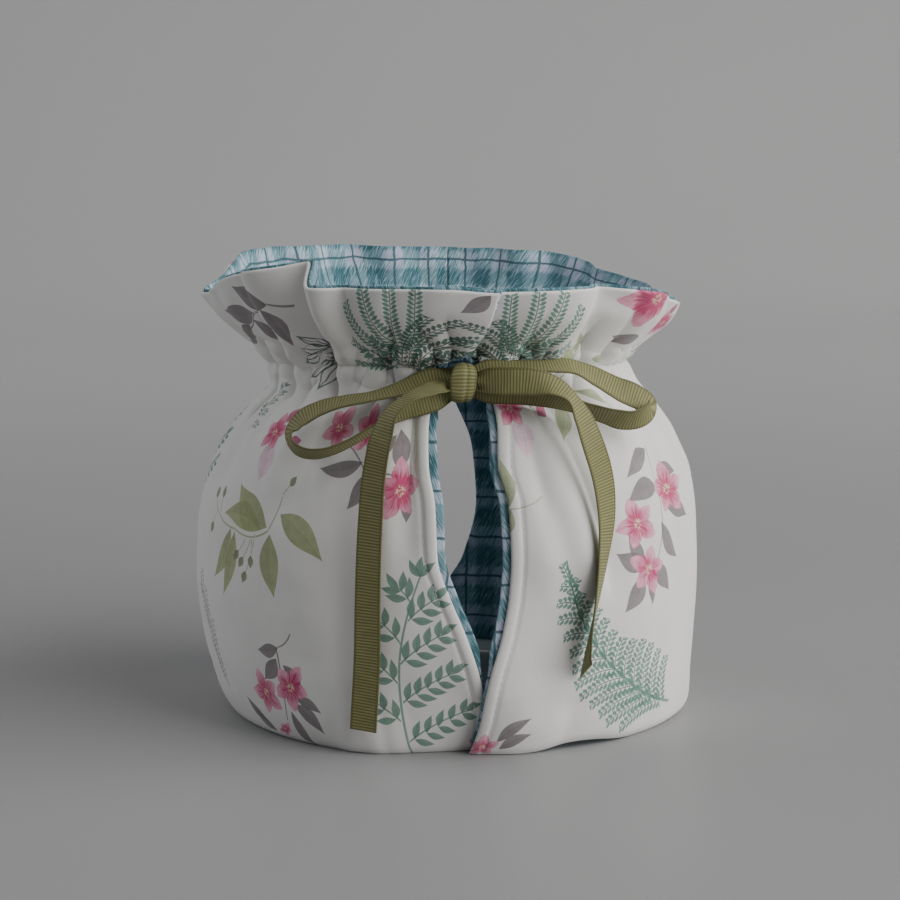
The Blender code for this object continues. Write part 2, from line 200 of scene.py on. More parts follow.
FOLDS = table(
    Fold,
    ("roll beside the slit", 33, 27, 17, 48, 134, 4.5, 4.6),
    ("trough behind the roll", 42, 35, 26, 46, 132, 5.0, -3.6),
    ("right front swell", 50, 49, 46, 30, 125, 9.0, 1.6),
    ("right front gather", 60, 58, 56, 78, 130, 4.5, -2.2),
    ("right gather", 78, 77, 76, 84, 130, 5.0, -2.0),
    ("right back gather", 101, 99, 98, 70, 130, 6.0, -2.4),
    ("back right drape", 124, 126, 128, 40, 128, 7.0, -2.4),
    ("back gather", 148, 150, 151, 74, 130, 5.5, -2.4),
    ("back slit roll", 196, 195, 194, 30, 128, 6.0, 2.0),
    ("back left drape", 215, 213, 212, 55, 130, 6.0, -2.6),
    ("left back gather", 240, 239, 238, 80, 130, 5.5, -2.2),
    ("left gather", 262, 263, 264, 72, 130, 6.0, -2.2),
    ("left front gather", 290, 292, 294, 82, 130, 5.0, -2.4),
    ("left shoulder crease", 320, 322, 324, 76, 131, 4.5, -2.4),
    ("left front drape", 338, 339, 341, 20, 120, 7.0, -1.6),
    ("left slit crease", 352, 352, 352, 62, 128, 3.5, -1.6),
    ("frill front hollow", 334, 335, 336, 128, 188, 5.0, -3.2),
    ("frill pleat lip", 327, 327, 327.5, 130, 188, 4.0, 2.0),
    ("frill pleat", 319, 319, 320, 126, 188, 6.5, -4.6),
    ("frill left ridge", 310, 310, 308, 126, 188, 6.0, 2.6),
    ("frill left hollow", 296, 295, 293, 126, 188, 7.0, -2.4),
    ("frill left crease", 280, 279, 278, 126, 188, 5.0, -1.8),
    ("frill left back", 258, 256, 254, 126, 188, 6.0, -3.4),
    ("frill left back ridge", 243, 242, 241, 126, 188, 6.0, 2.2),
    ("frill back left", 226, 226, 227, 126, 188, 6.0, -4.0),
    ("frill back ridge", 208, 209, 210, 126, 188, 6.0, 2.4),
    ("frill back", 191, 192, 194, 126, 188, 6.0, -3.8),
    ("frill back right", 164, 163, 161, 126, 188, 6.0, -4.2),
    ("frill right back ridge", 147, 147, 146, 126, 188, 6.0, 2.2),
    ("frill right back", 128, 128, 129, 126, 188, 6.0, -3.6),
    ("frill right side", 106, 105, 104, 126, 188, 5.5, -2.6),
    ("frill right crease", 78, 75, 71, 126, 188, 5.0, -2.8),
    ("frill right ridge", 61, 57, 52, 126, 188, 5.0, 2.4),
    ("frill right hollow", 49, 45, 39, 126, 188, 6.0, -5.0),
)

# Fine creases that only the finished cloth has
CREASES = table(
    Fold,
    ("left shoulder crease, inner", 328, 329, 331, 88, 132, 2.4, -1.4),
    ("left shoulder crease, outer", 311, 313, 316, 84, 130, 2.6, -0.9),
    ("left side crease", 300, 302, 305, 92, 130, 2.4, -0.8),
    ("left far crease", 279, 280, 282, 90, 130, 2.8, -0.9),
    ("left slit ridge", 347, 346, 345, 70, 128, 2.4, 0.9),
    ("left slit deep crease", 351.5, 351, 350, 86, 136, 1.4, -1.6),
    ("left hem pucker", 346, 345, 344, -8, 26, 2.2, -0.9),
    ("left hem pucker, outer", 336, 337, 338, -8, 22, 2.6, 0.7),
    ("left belly sag", 326, 324, 321, 24, 66, 6.0, -0.6),
    ("right slit crease", 21, 20, 18, 84, 128, 2.0, -0.8),
    ("roll edge", 34, 29, 20, 52, 134, 2.4, 0.8),
    ("crease behind the roll", 38.5, 33.5, 24.5, 50, 134, 1.6, -0.9),
    ("filled trough behind the roll", 43, 37, 27, 46, 130, 5.2, 2.9),
    ("filled flank beside the roll", 24, 19, 10, 48, 130, 5.0, 2.6),
    ("right front crease", 52, 51, 50, 92, 130, 2.2, -0.9),
    ("right shoulder crease", 67, 66, 65, 90, 130, 2.2, -0.8),
    ("right side crease", 88, 87, 86, 92, 130, 2.6, -0.8),
    ("right hem pull", 27, 29, 30, -8, 24, 3.4, -0.9),
    ("right hem swell", 44, 44, 43, -8, 30, 5.0, 0.7),
    ("back right crease", 137, 138, 139, 88, 130, 2.6, -0.9),
    ("back crease", 162, 163, 164, 86, 130, 2.8, -0.9),
    ("back left crease", 204, 203, 202, 88, 130, 2.6, -0.8),
    ("left back crease", 226, 226, 225, 90, 130, 2.6, -0.9),
    ("left back crease, outer", 251, 251, 251, 88, 130, 2.6, -0.8),
    ("frill right fine crease", 69, 66, 62, 134, 184, 1.6, -0.9),
    ("frill right fine ridge", 73, 71, 67, 132, 184, 1.4, 0.7),
    ("frill front fine ridge", 30, 31, 32, 134, 176, 3.0, 0.8),
    ("frill right shade", 38, 40.5, 42.5, 124, 196, 3.2, -2.8),
    ("filled foot of the right hollow", 50, 48, 46, 124, 166, 4.0, 2.2),
    ("frill right tuck", 55, 53, 49, 128, 186, 1.6, -1.3),
    ("frill left deep crease", 307, 303, 299, 122, 188, 2.0, -1.5),
    ("frill right fine fold", 22, 23, 25, 134, 168, 1.8, -0.9),
    ("frill flap crease", 345, 346, 348, 134, 172, 1.8, -0.9),
    ("frill flap shade", 333, 334, 336, 134, 190, 2.6, -1.5),
    ("neck pucker in the right loop", 36, 35.5, 36.5, 118, 144, 1.3, -2.8),
    ("neck pucker in the right loop, outer", 42, 41.5, 42, 116, 142, 1.4, -2.6),
    ("frill left fine crease", 287, 286, 284, 132, 180, 2.4, -0.7),
    ("frill flap swell", 356, 357, 358, 138, 182, 7.0, 0.9),
)


class Edge(NamedTuple):
    """The angles of both panels' front edges at a level, and how far each stands out of the round."""

    name: str
    level: float
    left: float
    right: float
    left_lift: float
    right_lift: float


EDGES = table(
    Edge,
    ("hem lap", 0, 11.0, 5.4, -2.6, 2.6),
    ("lap", 12, 10.0, 7.5, -2.6, 2.6),
    ("slit foot", 22, 8.7, 8.4, -2.2, 2.4),
    ("low slit", 32, 7.0, 9.6, -0.4, 1.6),
    ("slit", 46, 4.0, 11.8, 0.8, 1.4),
    ("wide slit", 60, 0.5, 13.2, 1.4, 1.6),
    ("left bend", 72, -1.9, 13.6, 1.6, 1.8),
    ("high slit", 92, -2.6, 13.2, 1.8, 1.8),
    ("slit shoulder", 104, -4.1, 11.6, 1.4, 1.4),
    ("slit top", 118, -4.6, 12.6, 0.6, 0.8),
    ("channel mouth", 128, -4.2, 12.8, 0.0, 0.0),
    ("channel top", NECK, -3.4, 12.0, 0.2, -0.2),
    ("frill foot", 139, 5.2, 5.0, 3.4, -3.4),
    ("frill low", 147, 8.6, 1.5, 3.6, -3.6),
    ("frill high", 158, 10.4, -0.5, 3.4, -3.4),
    ("rim", RIM, 11.3, -2.0, 3.0, -3.0),
)


class Spout(NamedTuple):
    """Half the angle between the two panels at the back, at a level."""

    name: str
    level: float
    half_angle: float


BACK_SEAM = 0.14
SPOUT = table(
    Spout,
    ("hem", 0, BACK_SEAM),
    ("seam foot", 26, BACK_SEAM),
    ("low slit", 38, 4.0),
    ("slit", 62, 7.5),
    ("high slit", 86, 6.5),
    ("slit top", 104, 2.5),
    ("seam top", 112, BACK_SEAM),
    ("rim", RIM, BACK_SEAM),
)


def even_slopes(stops: Array, values: Array) -> Array:
    """Slopes that keep a curve through the values smooth and free of overshoot.

    Inside, a slope is the harmonic mean of the steps on its two sides, and 0 where they differ in sign.

    Args:
        stops: where the values stand, rising.
        values: the values.

    Returns:
        One slope for each value.
    """
    steps = np.diff(values) / np.diff(stops)
    before, after = steps[:-1], steps[1:]
    same_way = before * after > 0
    total = np.where(same_way, before + after, 1.0)
    inner = np.where(same_way, 2 * before * after / total, 0.0)
    return np.concatenate([steps[:1], inner, steps[-1:]])


def curve(stops: Sequence[float], values: Sequence[float], at: Array) -> Array:
    """The smooth curve through a table's values: on each stretch, a cubic that meets both slopes.

    Args:
        stops: where the values stand, rising.
        values: the values.
        at: places to read the curve, held within the first and last stop.

    Returns:
        The curve's value at each place.
    """
    stops, values = np.asarray(stops, float), np.asarray(values, float)
    slopes = even_slopes(stops, values)
    at = np.clip(at, stops[0], stops[-1])
    i = np.clip(np.searchsorted(stops, at, side="right") - 1, 0, len(stops) - 2)
    span = stops[i + 1] - stops[i]
    t = (at - stops[i]) / span
    rise = t * t * (3 - 2 * t)
    leave = t * (1 - t) ** 2 * span * slopes[i]
    arrive = t * t * (t - 1) * span * slopes[i + 1]
    return values[i] + (values[i + 1] - values[i]) * rise + leave + arrive


def column(rows: Sequence, name: str) -> Array:
    """One column of a table."""
    return np.array([getattr(row, name) for row in rows], float)


def along_curve(rows: Sequence, stops: str, values: str, at: Array) -> Array:
    """The curve through one column of a table, over another."""
    return curve(column(rows, stops), column(rows, values), at)


def round_curve(rows: Sequence, values: str, angle: Array) -> Array:
    """The same curve for a table that runs round the cosy once."""
    stops = column(rows, "angle")
    stops = np.concatenate([stops - 360, stops, stops + 360])
    return curve(stops, np.tile(column(rows, values), 3), np.mod(angle, 360))


def step(low: float, high: float, at: Array) -> Array:
    """0 below low, 1 above high, and a smooth S between them."""
    t = np.clip((at - low) / (high - low), 0, 1)
    return t * t * (3 - 2 * t)


def bump(middle: float, half_width: float, at: Array) -> Array:
    """A bell of height 1: e to the minus square of the distance over the half width."""
    return np.exp(-(((at - middle) / half_width) ** 2))


def half_turn(angle: Array) -> Array:
    """The same angle between -180 and 180."""
    return np.mod(angle + 180, 360) - 180


def rounded(inside: Array, radius: float, least: float) -> Array:
    """The share of full thickness near an edge: a quarter circle over a radius, never under the least."""
    return np.clip(np.sqrt(1 - (1 - np.clip(inside / radius, 0, 1)) ** 2), least, 1)


def unit(vectors: Array) -> Array:
    """The same directions with a length of 1."""
    return vectors / np.linalg.norm(vectors, axis=-1, keepdims=True)


def square_to(along: Array, outward: Array) -> Array:
    """The level direction away from the axis, made square to a route and of length 1."""
    outward = outward * (1, 1, 0)
    return unit(outward - along * (outward * along).sum(1, keepdims=True))


def running(steps: Array) -> Array:
    """How far along each point lies, from the steps between them."""
    return np.concatenate([[0.0], np.cumsum(steps)])


def lengths(points: Array) -> Array:
    """The distances from point to point of a route."""
    return np.linalg.norm(np.diff(points, axis=0), axis=1)


def frill_spread(level: Array) -> tuple[Array, Array]:
    """The share of the frill's height that a level has passed, and how far it has spread by then."""
    share = np.clip((level - NECK) / FRILL, 0, 1)
    return share, along_curve(FLARE, "share", "flare", share)


@dataclass(frozen=True)
class Gathers:
    """The puckers that the ribbon draws up in its channel: uneven, wide and sharply creased."""

    count: int = 54
    depth: float = 3.7
    half_width: float = 1.3
    sharpness: float = 1.25  # 2 rounds the bottom of a crease, 1 makes it sharp
    channel: tuple[float, float] = (125.0, 140.0)
    reach_below: float = 13.0
    reach_above: float = 14.0
    lean: float = 0.12  # degrees a millimetre
    sway: float = 1.3  # degrees
    sway_length: float = 5.0
    puff: float = 3.0
    puff_level: float = 134.0
    puff_half_width: float = 7.5
    lump: float = 1.1
    seams: tuple[float, float] = (126.5, 142.0)
    pinch: float = 1.1
    pinch_half_width: float = 1.5

    def relief(self, angle: Array, level: Array) -> Array:
        """How far the gathered cloth stands out of the smooth form.

        Each pucker is a creased trough of its own place, depth, width and reach. It is full in the
        channel, fades out above and below, leans and sways like a sine wave. The cloth between puckers
        stands out in a bell round the neck, is lumpy like the product of two sine waves, and is drawn
        in along two wavering seams.

        Args:
            angle: angles of the places.
            level: their levels, of the same shape.

        Returns:
            Millimetres outward.
        """
        low, high = self.channel
        i = np.arange(self.count)
        centre = (i + 0.40 * np.sin(2.4 * i)) * 360 / self.count
        deep = self.depth * (1 + 0.75 * np.sin(1.7 * i + 1.0))
        width = self.half_width * (1 + 0.35 * np.sin(3.1 * i))
        below = low - self.reach_below * (1 + 0.5 * np.sin(4.3 * i + 0.5))
        above = high + self.reach_above * (1 + 0.5 * np.sin(5.2 * i + 2.0))
        up = level[..., None] - (low + high) / 2
        path = centre + self.lean * np.sin(0.9 * i + 0.4) * up
        path = path + self.sway * np.sin(up / self.sway_length + 1.9 * i)
        off = half_turn(angle[..., None] - path)
        full = step(below, low, level[..., None]) * (1 - step(high, above, level[..., None]))
        trough = np.exp(-(np.abs(off / width) ** self.sharpness))
        at_neck = bump(self.puff_level, self.puff_half_width, level)
        turn = np.radians(angle)
        lumps = np.sin(31 * turn + level / 3.0) * np.sin(level / 2.1 + 9 * np.sin(5 * turn))
        waver = 1.4 * np.sin(13 * turn) + 0.9 * np.sin(29 * turn + 1)
        drawn = sum(bump(seam, self.pinch_half_width, level + waver) for seam in self.seams)
        drawn = self.pinch * drawn * (0.5 + 0.5 * np.sin(17 * turn + 2))
        return (self.puff + self.lump * lumps) * at_neck - drawn - (deep * full * trough).sum(-1)


@dataclass(frozen=True)
class ClothForm:
    """The face where cover and lining meet, as the cosy stands."""

    neck_lift: float = 5.0  # the handle pushes the neck up at the front
    neck_lift_from: float = 95.0
    edge_reach: float = 30.0  # degrees over which a front edge rises out of the round
    hem_draw_top: float = 45.0
    hem_lift_top: float = 30.0
    slack: float = 0.28  # height of the loose, shallow waves on the belly
    ripple: float = 0.75  # and of those on the frill
    rim_radius: float = 88.0  # at the side where the flat cloth's height is measured
    gathers: Gathers = field(default_factory=Gathers)

    def body_radius(self, angle: Array, level: Array) -> Array:
        """Radius of the body: the four sides' radii, shared by the squares of cosine and sine.

        Args:
            angle: angles of the places.
            level: their levels.

        Returns:
            Millimetres from the axis.
        """
        level = np.minimum(level, NECK)
        sides = (along_curve(BODY, "height", side, level) for side in ("front", "right", "back", "left"))
        front, right, back, left = sides
        ahead, aside = np.cos(np.radians(angle)), np.sin(np.radians(angle))
        return np.where(ahead > 0, front, back) * ahead**2 + np.where(aside > 0, right, left) * aside**2

    def folds(self, rows: Sequence[Fold], angle: Array, level: Array) -> Array:
        """All folds of a table together.

        Each is bell-shaped across its path. The path runs straight from foot to top, bowed to pass the
        middle angle, and the fold fades in over its first third and out over its last quarter.

        Args:
            rows: the folds.
            angle: angles of the places.
            level: their levels.

        Returns:
            Millimetres outward.
        """
        depth = np.zeros(angle.shape)
        for fold in rows:
            t = (level - fold.low) / (fold.high - fold.low)
            straight = fold.foot + (fold.top - fold.foot) * t
            bow = 4 * t * (1 - t) * (fold.middle - (fold.foot + fold.top) / 2)
            fade = step(0, 0.3, t) * (1 - step(0.75, 1, t))
            depth = depth + fold.depth * fade * bump(0, fold.half_width, half_turn(angle - straight - bow))
        return depth

    def slack_waves(self, angle: Array, level: Array) -> Array:
        """Shallow waves of loose cloth: three slanting sine waves of unrelated lengths.

        Two more ripple the frill towards its rim, least at the front.

        Args:
            angle: angles of the places.
            level: their levels.

        Returns:
            Millimetres outward.
        """
        turn = np.radians(angle)
        waves = np.sin(7 * turn + level / 15.0) + 0.8 * np.sin(11 * turn - level / 23.0 + 1.3)
        waves = waves + 0.5 * np.sin(19 * turn + level / 9.0 + 0.6)
        ripples = np.sin(17 * turn + level / 12.0 + 1) + 0.8 * np.sin(28 * turn - level / 9.0 + 2.2)
        ripples = ripples * (1 - 0.75 * np.cos(turn)) * step(NECK + 4, RIM, level)
        return self.slack * waves * step(2, 16, level) + self.ripple * ripples

    def front_edge(self, level: Array, side: int) -> tuple[Array, Array]:
        """The angle of a panel's front edge at a level, and how far it stands out of the round."""
        name = "left" if side < 0 else "right"
        return along_curve(EDGES, "level", name, level), along_curve(EDGES, "level", name + "_lift", level)

    def place(self, angle: Array, level: Array, side: int) -> Array:
        """Points on the face where cover and lining meet.

        The radius is the body's, blended to the rim's by the frill's flare, less the hem's draw, plus
        the lift at the front edge and the folds, gathers and creases. The height is the level with the
        neck's lift and the hem's lift added, blended to the rim's height through the frill.

        Args:
            angle: angles of the places.
            level: their levels.
            side: -1 on the left panel, 1 on the right.

        Returns:
            Points in millimetres about the cosy's axis.
        """
        angle, level = np.broadcast_arrays(np.asarray(angle, float), np.asarray(level, float))
        turn = np.radians(angle)
        share, flare = frill_spread(level)
        radius = self.body_radius(angle, level)
        radius = radius + flare * (round_curve(RIM_LINE, "radius", angle) - radius)
        radius = radius - round_curve(HEM, "draw", angle) * (1 - step(0, self.hem_draw_top, level))
        edge, lift = self.front_edge(level, side)
        radius = radius + lift * (1 - step(0, 1, np.abs(angle - edge) / self.edge_reach))
        radius = radius + self.folds(FOLDS + CREASES, angle, level)
        radius = radius + self.gathers.relief(angle, level) + self.slack_waves(angle, level)
        ahead = np.clip(np.cos(turn), 0, 1)
        lifted = self.neck_lift * ahead**2 * step(self.neck_lift_from, NECK, level)
        height = np.minimum(level, NECK) + lifted
        height = height + share * (round_curve(RIM_LINE, "height", angle) - height)
        height = height + round_curve(HEM, "lift", angle) * (1 - step(0, self.hem_lift_top, level))
        return np.stack([radius * np.sin(turn), -radius * np.cos(turn), height], -1)

    def flat_heights(self) -> tuple[Array, Array]:
        """Levels, and how far up the flat cloth each lies: the length of the body's line at one side."""
        level = np.linspace(0, RIM, 340)
        radius = self.body_radius(np.full(level.shape, 135.0), level)
        radius = radius + frill_spread(level)[1] * (self.rim_radius - radius)
        return level, running(np.hypot(np.diff(radius), np.diff(level)))


FORM = ClothForm()
FLAT_LEVELS, FLAT_HEIGHTS = FORM.flat_heights()


def flat_height(level: Array) -> Array:
    """How far up the flat cloth a level lies."""
    return np.interp(level, FLAT_LEVELS, FLAT_HEIGHTS)


FLAT_RIM = float(flat_height(RIM))


def on_flat(angle: Array, level: Array) -> Array:
    """Places on the flat cloth, in millimetres: along the hem, and up from it as the imaginary part."""
    return angle * PER_DEGREE + 1j * flat_height(level)


# --- Meshes ---


def link(name: str, data: bpy.types.ID) -> bpy.types.Object:
    """A new object in the scene."""
    made = bpy.data.objects.new(name, data)
    bpy.context.scene.collection.objects.link(made)
    return made


def mesh_object(name: str, points: Array, faces: Array) -> bpy.types.Object:
    """A smooth-shaded object from points in metres and faces of equal corner count.

    Args:
        name: the object's name.
        points: the points.
        faces: one row of point numbers for each face.

    Returns:
        The new object, at the origin.
    """
    mesh = bpy.data.meshes.new(name)
    mesh.from_pydata(points.reshape(-1, 3).tolist(), [], faces.tolist())
    mesh.shade_smooth()
    return link(name, mesh)


def grid_faces(rows: int, columns: int) -> tuple[Array, Array]:
    """The point numbers of a grid, and its four-sided faces, counted anticlockwise."""
    corner = np.arange(rows * columns).reshape(rows, columns)
    faces = np.stack([corner[:-1, :-1], corner[:-1, 1:], corner[1:, 1:], corner[1:, :-1]], -1)
    return corner, faces.reshape(-1, 4)


def corner_vertices(mesh: bpy.types.Mesh) -> Array:
    """The vertex number of each face corner."""
    corners = np.empty(len(mesh.loops), np.int32)
    mesh.loops.foreach_get("vertex_index", corners)
    return corners


def set_corners(mesh: bpy.types.Mesh, name: str, values: Array) -> None:
    """Stores three numbers at each face corner, as the attribute of that name."""
    layer = mesh.attributes.new(name, "FLOAT_VECTOR", "CORNER")
    layer.data.foreach_set("vector", values.astype(np.float32).ravel())


def shell(name: str, outer: Array, inner: Array, flat: Array) -> bpy.types.Object:
    """A closed sheet between two grids of points, with a UV map of its flat cloth.

    Its faces are the outer grid, the inner grid turned round, and the edge between them.

    Args:
        name: the object's name.
        outer: the outer grid in millimetres about the cosy's axis, anticlockwise from outside.
        inner: the inner grid.
        flat: each grid point's place on the flat cloth, as a complex number.

    Returns:
        The new object, at the origin.
    """
    corner, outside = grid_faces(*outer.shape[:2])
    loop = np.concatenate([corner[0], corner[1:, -1], corner[-1, -2::-1], corner[-2:0:-1, 0]])
    after, count = np.roll(loop, -1), corner.size
    edge = np.stack([after, loop, loop + count, after + count], 1)
    faces = np.concatenate([outside, outside[:, ::-1] + count, edge])
    made = mesh_object(name, (np.concatenate([outer, inner]) + AXIS) * MM, faces)
    flat = np.tile(flat.ravel(), 2)[corner_vertices(made.data)]
    uv = np.stack([flat.real, flat.imag], -1) / UV_SPAN
    made.data.uv_layers.new(name=CLOTH_MAP).uv.foreach_set("vector", uv.astype(np.float32).ravel())
    return made


def grid_normals(points: Array) -> Array:
    """Unit normals of a grid: the cross product of its two directions at each point."""
    return unit(np.cross(np.gradient(points, axis=1), np.gradient(points, axis=0)))


def with_edges(count: int, length: float, close: Sequence[float]) -> Array:
    """Even places from 0 to a length, with closer ones near both ends.

    Args:
        count: how many even places.
        length: the length.
        close: distances from each end where more places are wanted.

    Returns:
        All places, rising.
    """
    near = np.array(close)
    middle = np.linspace(0, length, count)
    middle = middle[(middle > near[-1] * 1.4) & (middle < length - near[-1] * 1.4)]
    return np.concatenate([[0], near, middle, length - near[::-1], [length]])


# --- The print: strokes and blossoms on the flat cloth ---


class Ink(IntEnum):
    """The inks, and with them the way that a stroke is drawn."""

    GREY_LEAF = 0
    SAGE_LEAF = 1
    TEAL_LEAFLET = 2
    BERRY = 3
    PALE_PETAL = 4
    BUD = 5
    LIGHT_GREEN = 6
    PENCIL = 7
    LEAF_OUTLINE = 8
    FERN = 9
    DARK_FERN = 10


def polar(length: float, degrees: float) -> complex:
    """A flat step of a length in a direction, 0 along the hem and 90 up the cloth."""
    return length * complex(math.cos(math.radians(degrees)), math.sin(math.radians(degrees)))


def bowed(share: float, bend: float) -> complex:
    """A place on a rib that starts at 0 and ends at 1, and is bowed like a parabola between them."""
    return share + 4j * bend * share * (1 - share)


def on_rib(at: Array, base: Array, span: Array, bend: Array) -> tuple[Array, Array]:
    """Shares of the way along a bowed rib, and millimetres to its left, of some flat places."""
    inside = (at - base) / span
    along = inside.real
    return along, (inside.imag - bend * 4 * along * (1 - along)) * np.abs(span)


class Stroke(NamedTuple):
    """A leaf, stem or feathery frond on a bowed rib, from its base along its span."""

    base: complex
    span: complex
    bend: float
    half_width: float
    ink: Ink

    def disc(self) -> tuple[complex, float]:
        """The middle and radius of a circle that holds it."""
        return self.base + self.span / 2, abs(self.span) * 0.62 + self.half_width

    def outside(self, at: Array) -> Array:
        """Millimetres beyond its sides or ends, of some flat places.

        Its sides swell and taper like a sine wave, apart from those of pencil lines and fronds.
        """
        along, aside = on_rib(at, self.base, self.span, self.bend)
        shape = np.sin(np.pi * np.clip(along, 0, 1) ** 0.85) ** 1.2
        wide = self.half_width * (shape if self.ink < Ink.PENCIL else 1.0)
        return np.maximum(np.abs(aside) - wide, np.maximum(-along, along - 1) * abs(self.span))


class Bloom(NamedTuple):
    """A blossom, from its centre to the tip of one petal, squeezed across that petal."""

    centre: complex
    petal: complex
    squeeze: float
    depth: float  # of its colour, from 0 for pale to 1

    def disc(self) -> tuple[complex, float]:
        """The middle and radius of a circle that holds it."""
        return self.centre, abs(self.petal)

    def outside(self, at: Array) -> Array:
        """Millimetres beyond the tips of the petals, of some flat places."""
        inside = (at - self.centre) / self.petal
        return (np.hypot(inside.real, inside.imag * self.squeeze) - 1) * abs(self.petal)


@dataclass
class Drawing:
    """The strokes and blossoms of a motif, in millimetres of flat cloth."""

    leaves: list[Stroke] = field(default_factory=list)
    stems: list[Stroke] = field(default_factory=list)
    blooms: list[Bloom] = field(default_factory=list)

    def leaf(
        self, ink: Ink, base: complex, length: float, heading: float, width: float, bend: float = 0.08
    ) -> None:
        """Adds a leaf or frond, with its length, heading and full width."""
        self.leaves.append(Stroke(base, polar(length, heading), bend, width / 2, ink))

    def stem(self, ink: Ink, base: complex, tip: complex, bend: float = 0.06, width: float = 0.5) -> None:
        """Adds a stem from one place to another."""
        self.stems.append(Stroke(base, tip - base, bend, width / 2, ink))

    def bloom(self, centre: complex, petal: float, heading: float, squeeze: float, depth: float) -> None:
        """Adds a blossom with its petals' length and the heading of one of them."""
        self.blooms.append(Bloom(centre, polar(petal, heading), squeeze, depth))

    def add(self, other: "Drawing", at: complex, turn: float, size: float, mirror: bool) -> None:
        """Adds a motif, turned and sized about its own origin and then moved there.

        Args:
            other: the motif.
            at: where its origin goes.
            turn: degrees, anticlockwise.
            size: how many times its own size.
            mirror: whether its left and right are exchanged.
        """
        by = polar(size, turn)
        flip = (lambda z: -z.conjugate()) if mirror else (lambda z: z)
        sign = -1 if mirror else 1

        def moved(s: Stroke) -> Stroke:
            """The stroke in its new place."""
            base, span = at + by * flip(s.base), by * flip(s.span)
            return Stroke(base, span, s.bend * sign, s.half_width * size, s.ink)

        self.leaves += map(moved, other.leaves)
        self.stems += map(moved, other.stems)
        for centre, petal, squeeze, depth in other.blooms:
            self.blooms.append(Bloom(at + by * flip(centre), by * flip(petal), squeeze, depth))


def motif(ink: Ink, stems: Sequence = (), leaves: Sequence = (), blooms: Sequence = ()) -> Drawing:
    """A motif of one ink, apart from its blossoms.

    Args:
        ink: the ink.
        stems: rows of base and tip, and where they differ from the rest, bend and width.
        leaves: rows of base, length, heading and width, and where it differs from the rest, bend.
        blooms: rows of centre, petal's length, heading, squeeze and depth.

    Returns:
        The motif.
    """
    made = Drawing()
    for row in stems:
        made.stem(ink, *row)
    for row in leaves:
        made.leaf(ink, *row)
    for row in blooms:
        made.bloom(*row)
    return made


def one_blossom() -> Drawing:
    """A small deep blossom over one long pale petal, with buds beside it."""
    made = motif(Ink.PALE_PETAL, (), ((1 - 3j, 15, 268, 8.6),), ((0j, 8.2, 82, 1.1, 0.85),))
    made.leaf(Ink.BUD, 3 + 4j, 7, 58, 4.0)
    made.leaf(Ink.BUD, 11 - 4j, 6, 20, 4.8)
    return made


def fern(length: float = 86.0, bow: float = 0.15, pairs: int = 12) -> Drawing:
    """A large fern on a bowed rib, broad below and drawn out to a spire, with curved fronds.

    Args:
        length: of the rib.
        bow: how far the rib is bowed, as a share of its length.
        pairs: of fronds.

    Returns:
        The motif, its rib starting at the origin and running up.
    """
    made = motif(Ink.FERN, ((0j, length * 1j, bow, 0.9),))
    for i in range(pairs):
        t = 0.08 + 0.88 * i / pairs
        ahead = 90 + math.degrees(math.atan(4 * bow * (1 - 2 * t)))
        for side, reach, lean in ((1, 27, min(58, 34 + 50 * t)), (-1, 19, 84 - 44 * t)):
            frond = reach * min(1.0, 0.62 + 2.2 * t) * (1 - t) ** 1.15 + 3.5 + 1.2 * math.sin(5 * i + side)
            foot = length * 1j * bowed(t, bow)
            made.leaf(Ink.FERN, foot, frond, ahead + side * lean, 7.6 - 2.4 * t, -0.10 * side)
    made.leaf(Ink.FERN, length * complex(-0.10, 0.80), 0.22 * length, 70, 5.2, -0.04)
    return made


def fern_tuft() -> Drawing:
    """A fan of curved light fern fronds with a darker, denser one beside it.

    Returns:
        The motif, its fronds' feet near the origin.
    """
    made = Drawing()
    for ink, foot, heading, length, bend in (
        (Ink.FERN, 1 + 7j, 122, 35, 0.18),
        (Ink.FERN, 1 + 9j, 105, 36, 0.08),
        (Ink.FERN, 3 + 9j, 92, 35, 0.03),
        (Ink.FERN, 7 + 10j, 82, 34, -0.03),
        (Ink.FERN, 0 + 6j, 156, 24, 0.20),
        (Ink.FERN, 0 + 2j, 180, 23, 0.12),
        (Ink.FERN, 2 + 6j, 136, 18, 0.10),
        (Ink.DARK_FERN, 3 + 0j, 66, 33, 0.12),
        (Ink.DARK_FERN, 5 + 0j, 49, 37, 0.16),
        (Ink.DARK_FERN, 8 - 1j, 33, 35, 0.16),
        (Ink.DARK_FERN, 10 - 2j, 16, 30, 0.16),
        (Ink.DARK_FERN, 11 - 5j, -4, 24, 0.12),
    ):
        made.leaf(ink, foot, length, heading, 8.2 if ink == Ink.FERN else 8.0, bend)
    return made


def leafy_branch(length: float = 72.0, bow: float = 0.08) -> Drawing:
    """A slim upright branch with alternate arms, each with pairs of small leaves and one at its end.

    Args:
        length: of the main stem.
        bow: how far it is bowed, as a share of its length.

    Returns:
        The motif, its stem starting at the origin and running up.
    """
    teal = Ink.TEAL_LEAFLET
    made = motif(teal, ((0j, length * 1j, bow, 0.7),))
    for i in range(8):
        t = 0.12 + 0.105 * i
        side = 1 if i % 2 else -1
        foot = length * 1j * bowed(t, bow)
        arm = (28 if side < 0 else 18) * (1 - t) ** 0.5
        heading = 90 + side * (60 - 20 * t)
        tip = foot + polar(arm, heading)
        made.stem(teal, foot, tip, -0.05 * side)
        pairs = max(2, round(arm / 5.0))
        for k in range(pairs):
            at = foot + (tip - foot) * (k + 0.6) / pairs
            for hand in (-1, 1):
                made.leaf(teal, at, 8.0 - 1.6 * k / pairs, heading + hand * 44, 2.9, 0.06 * hand)
        made.leaf(teal, tip - polar(0.6, heading), 7.4, heading, 2.8)
    for heading in (52, 90, 128):
        made.leaf(teal, length * 1j - 1j, 7.6, heading, 2.8)
    return made


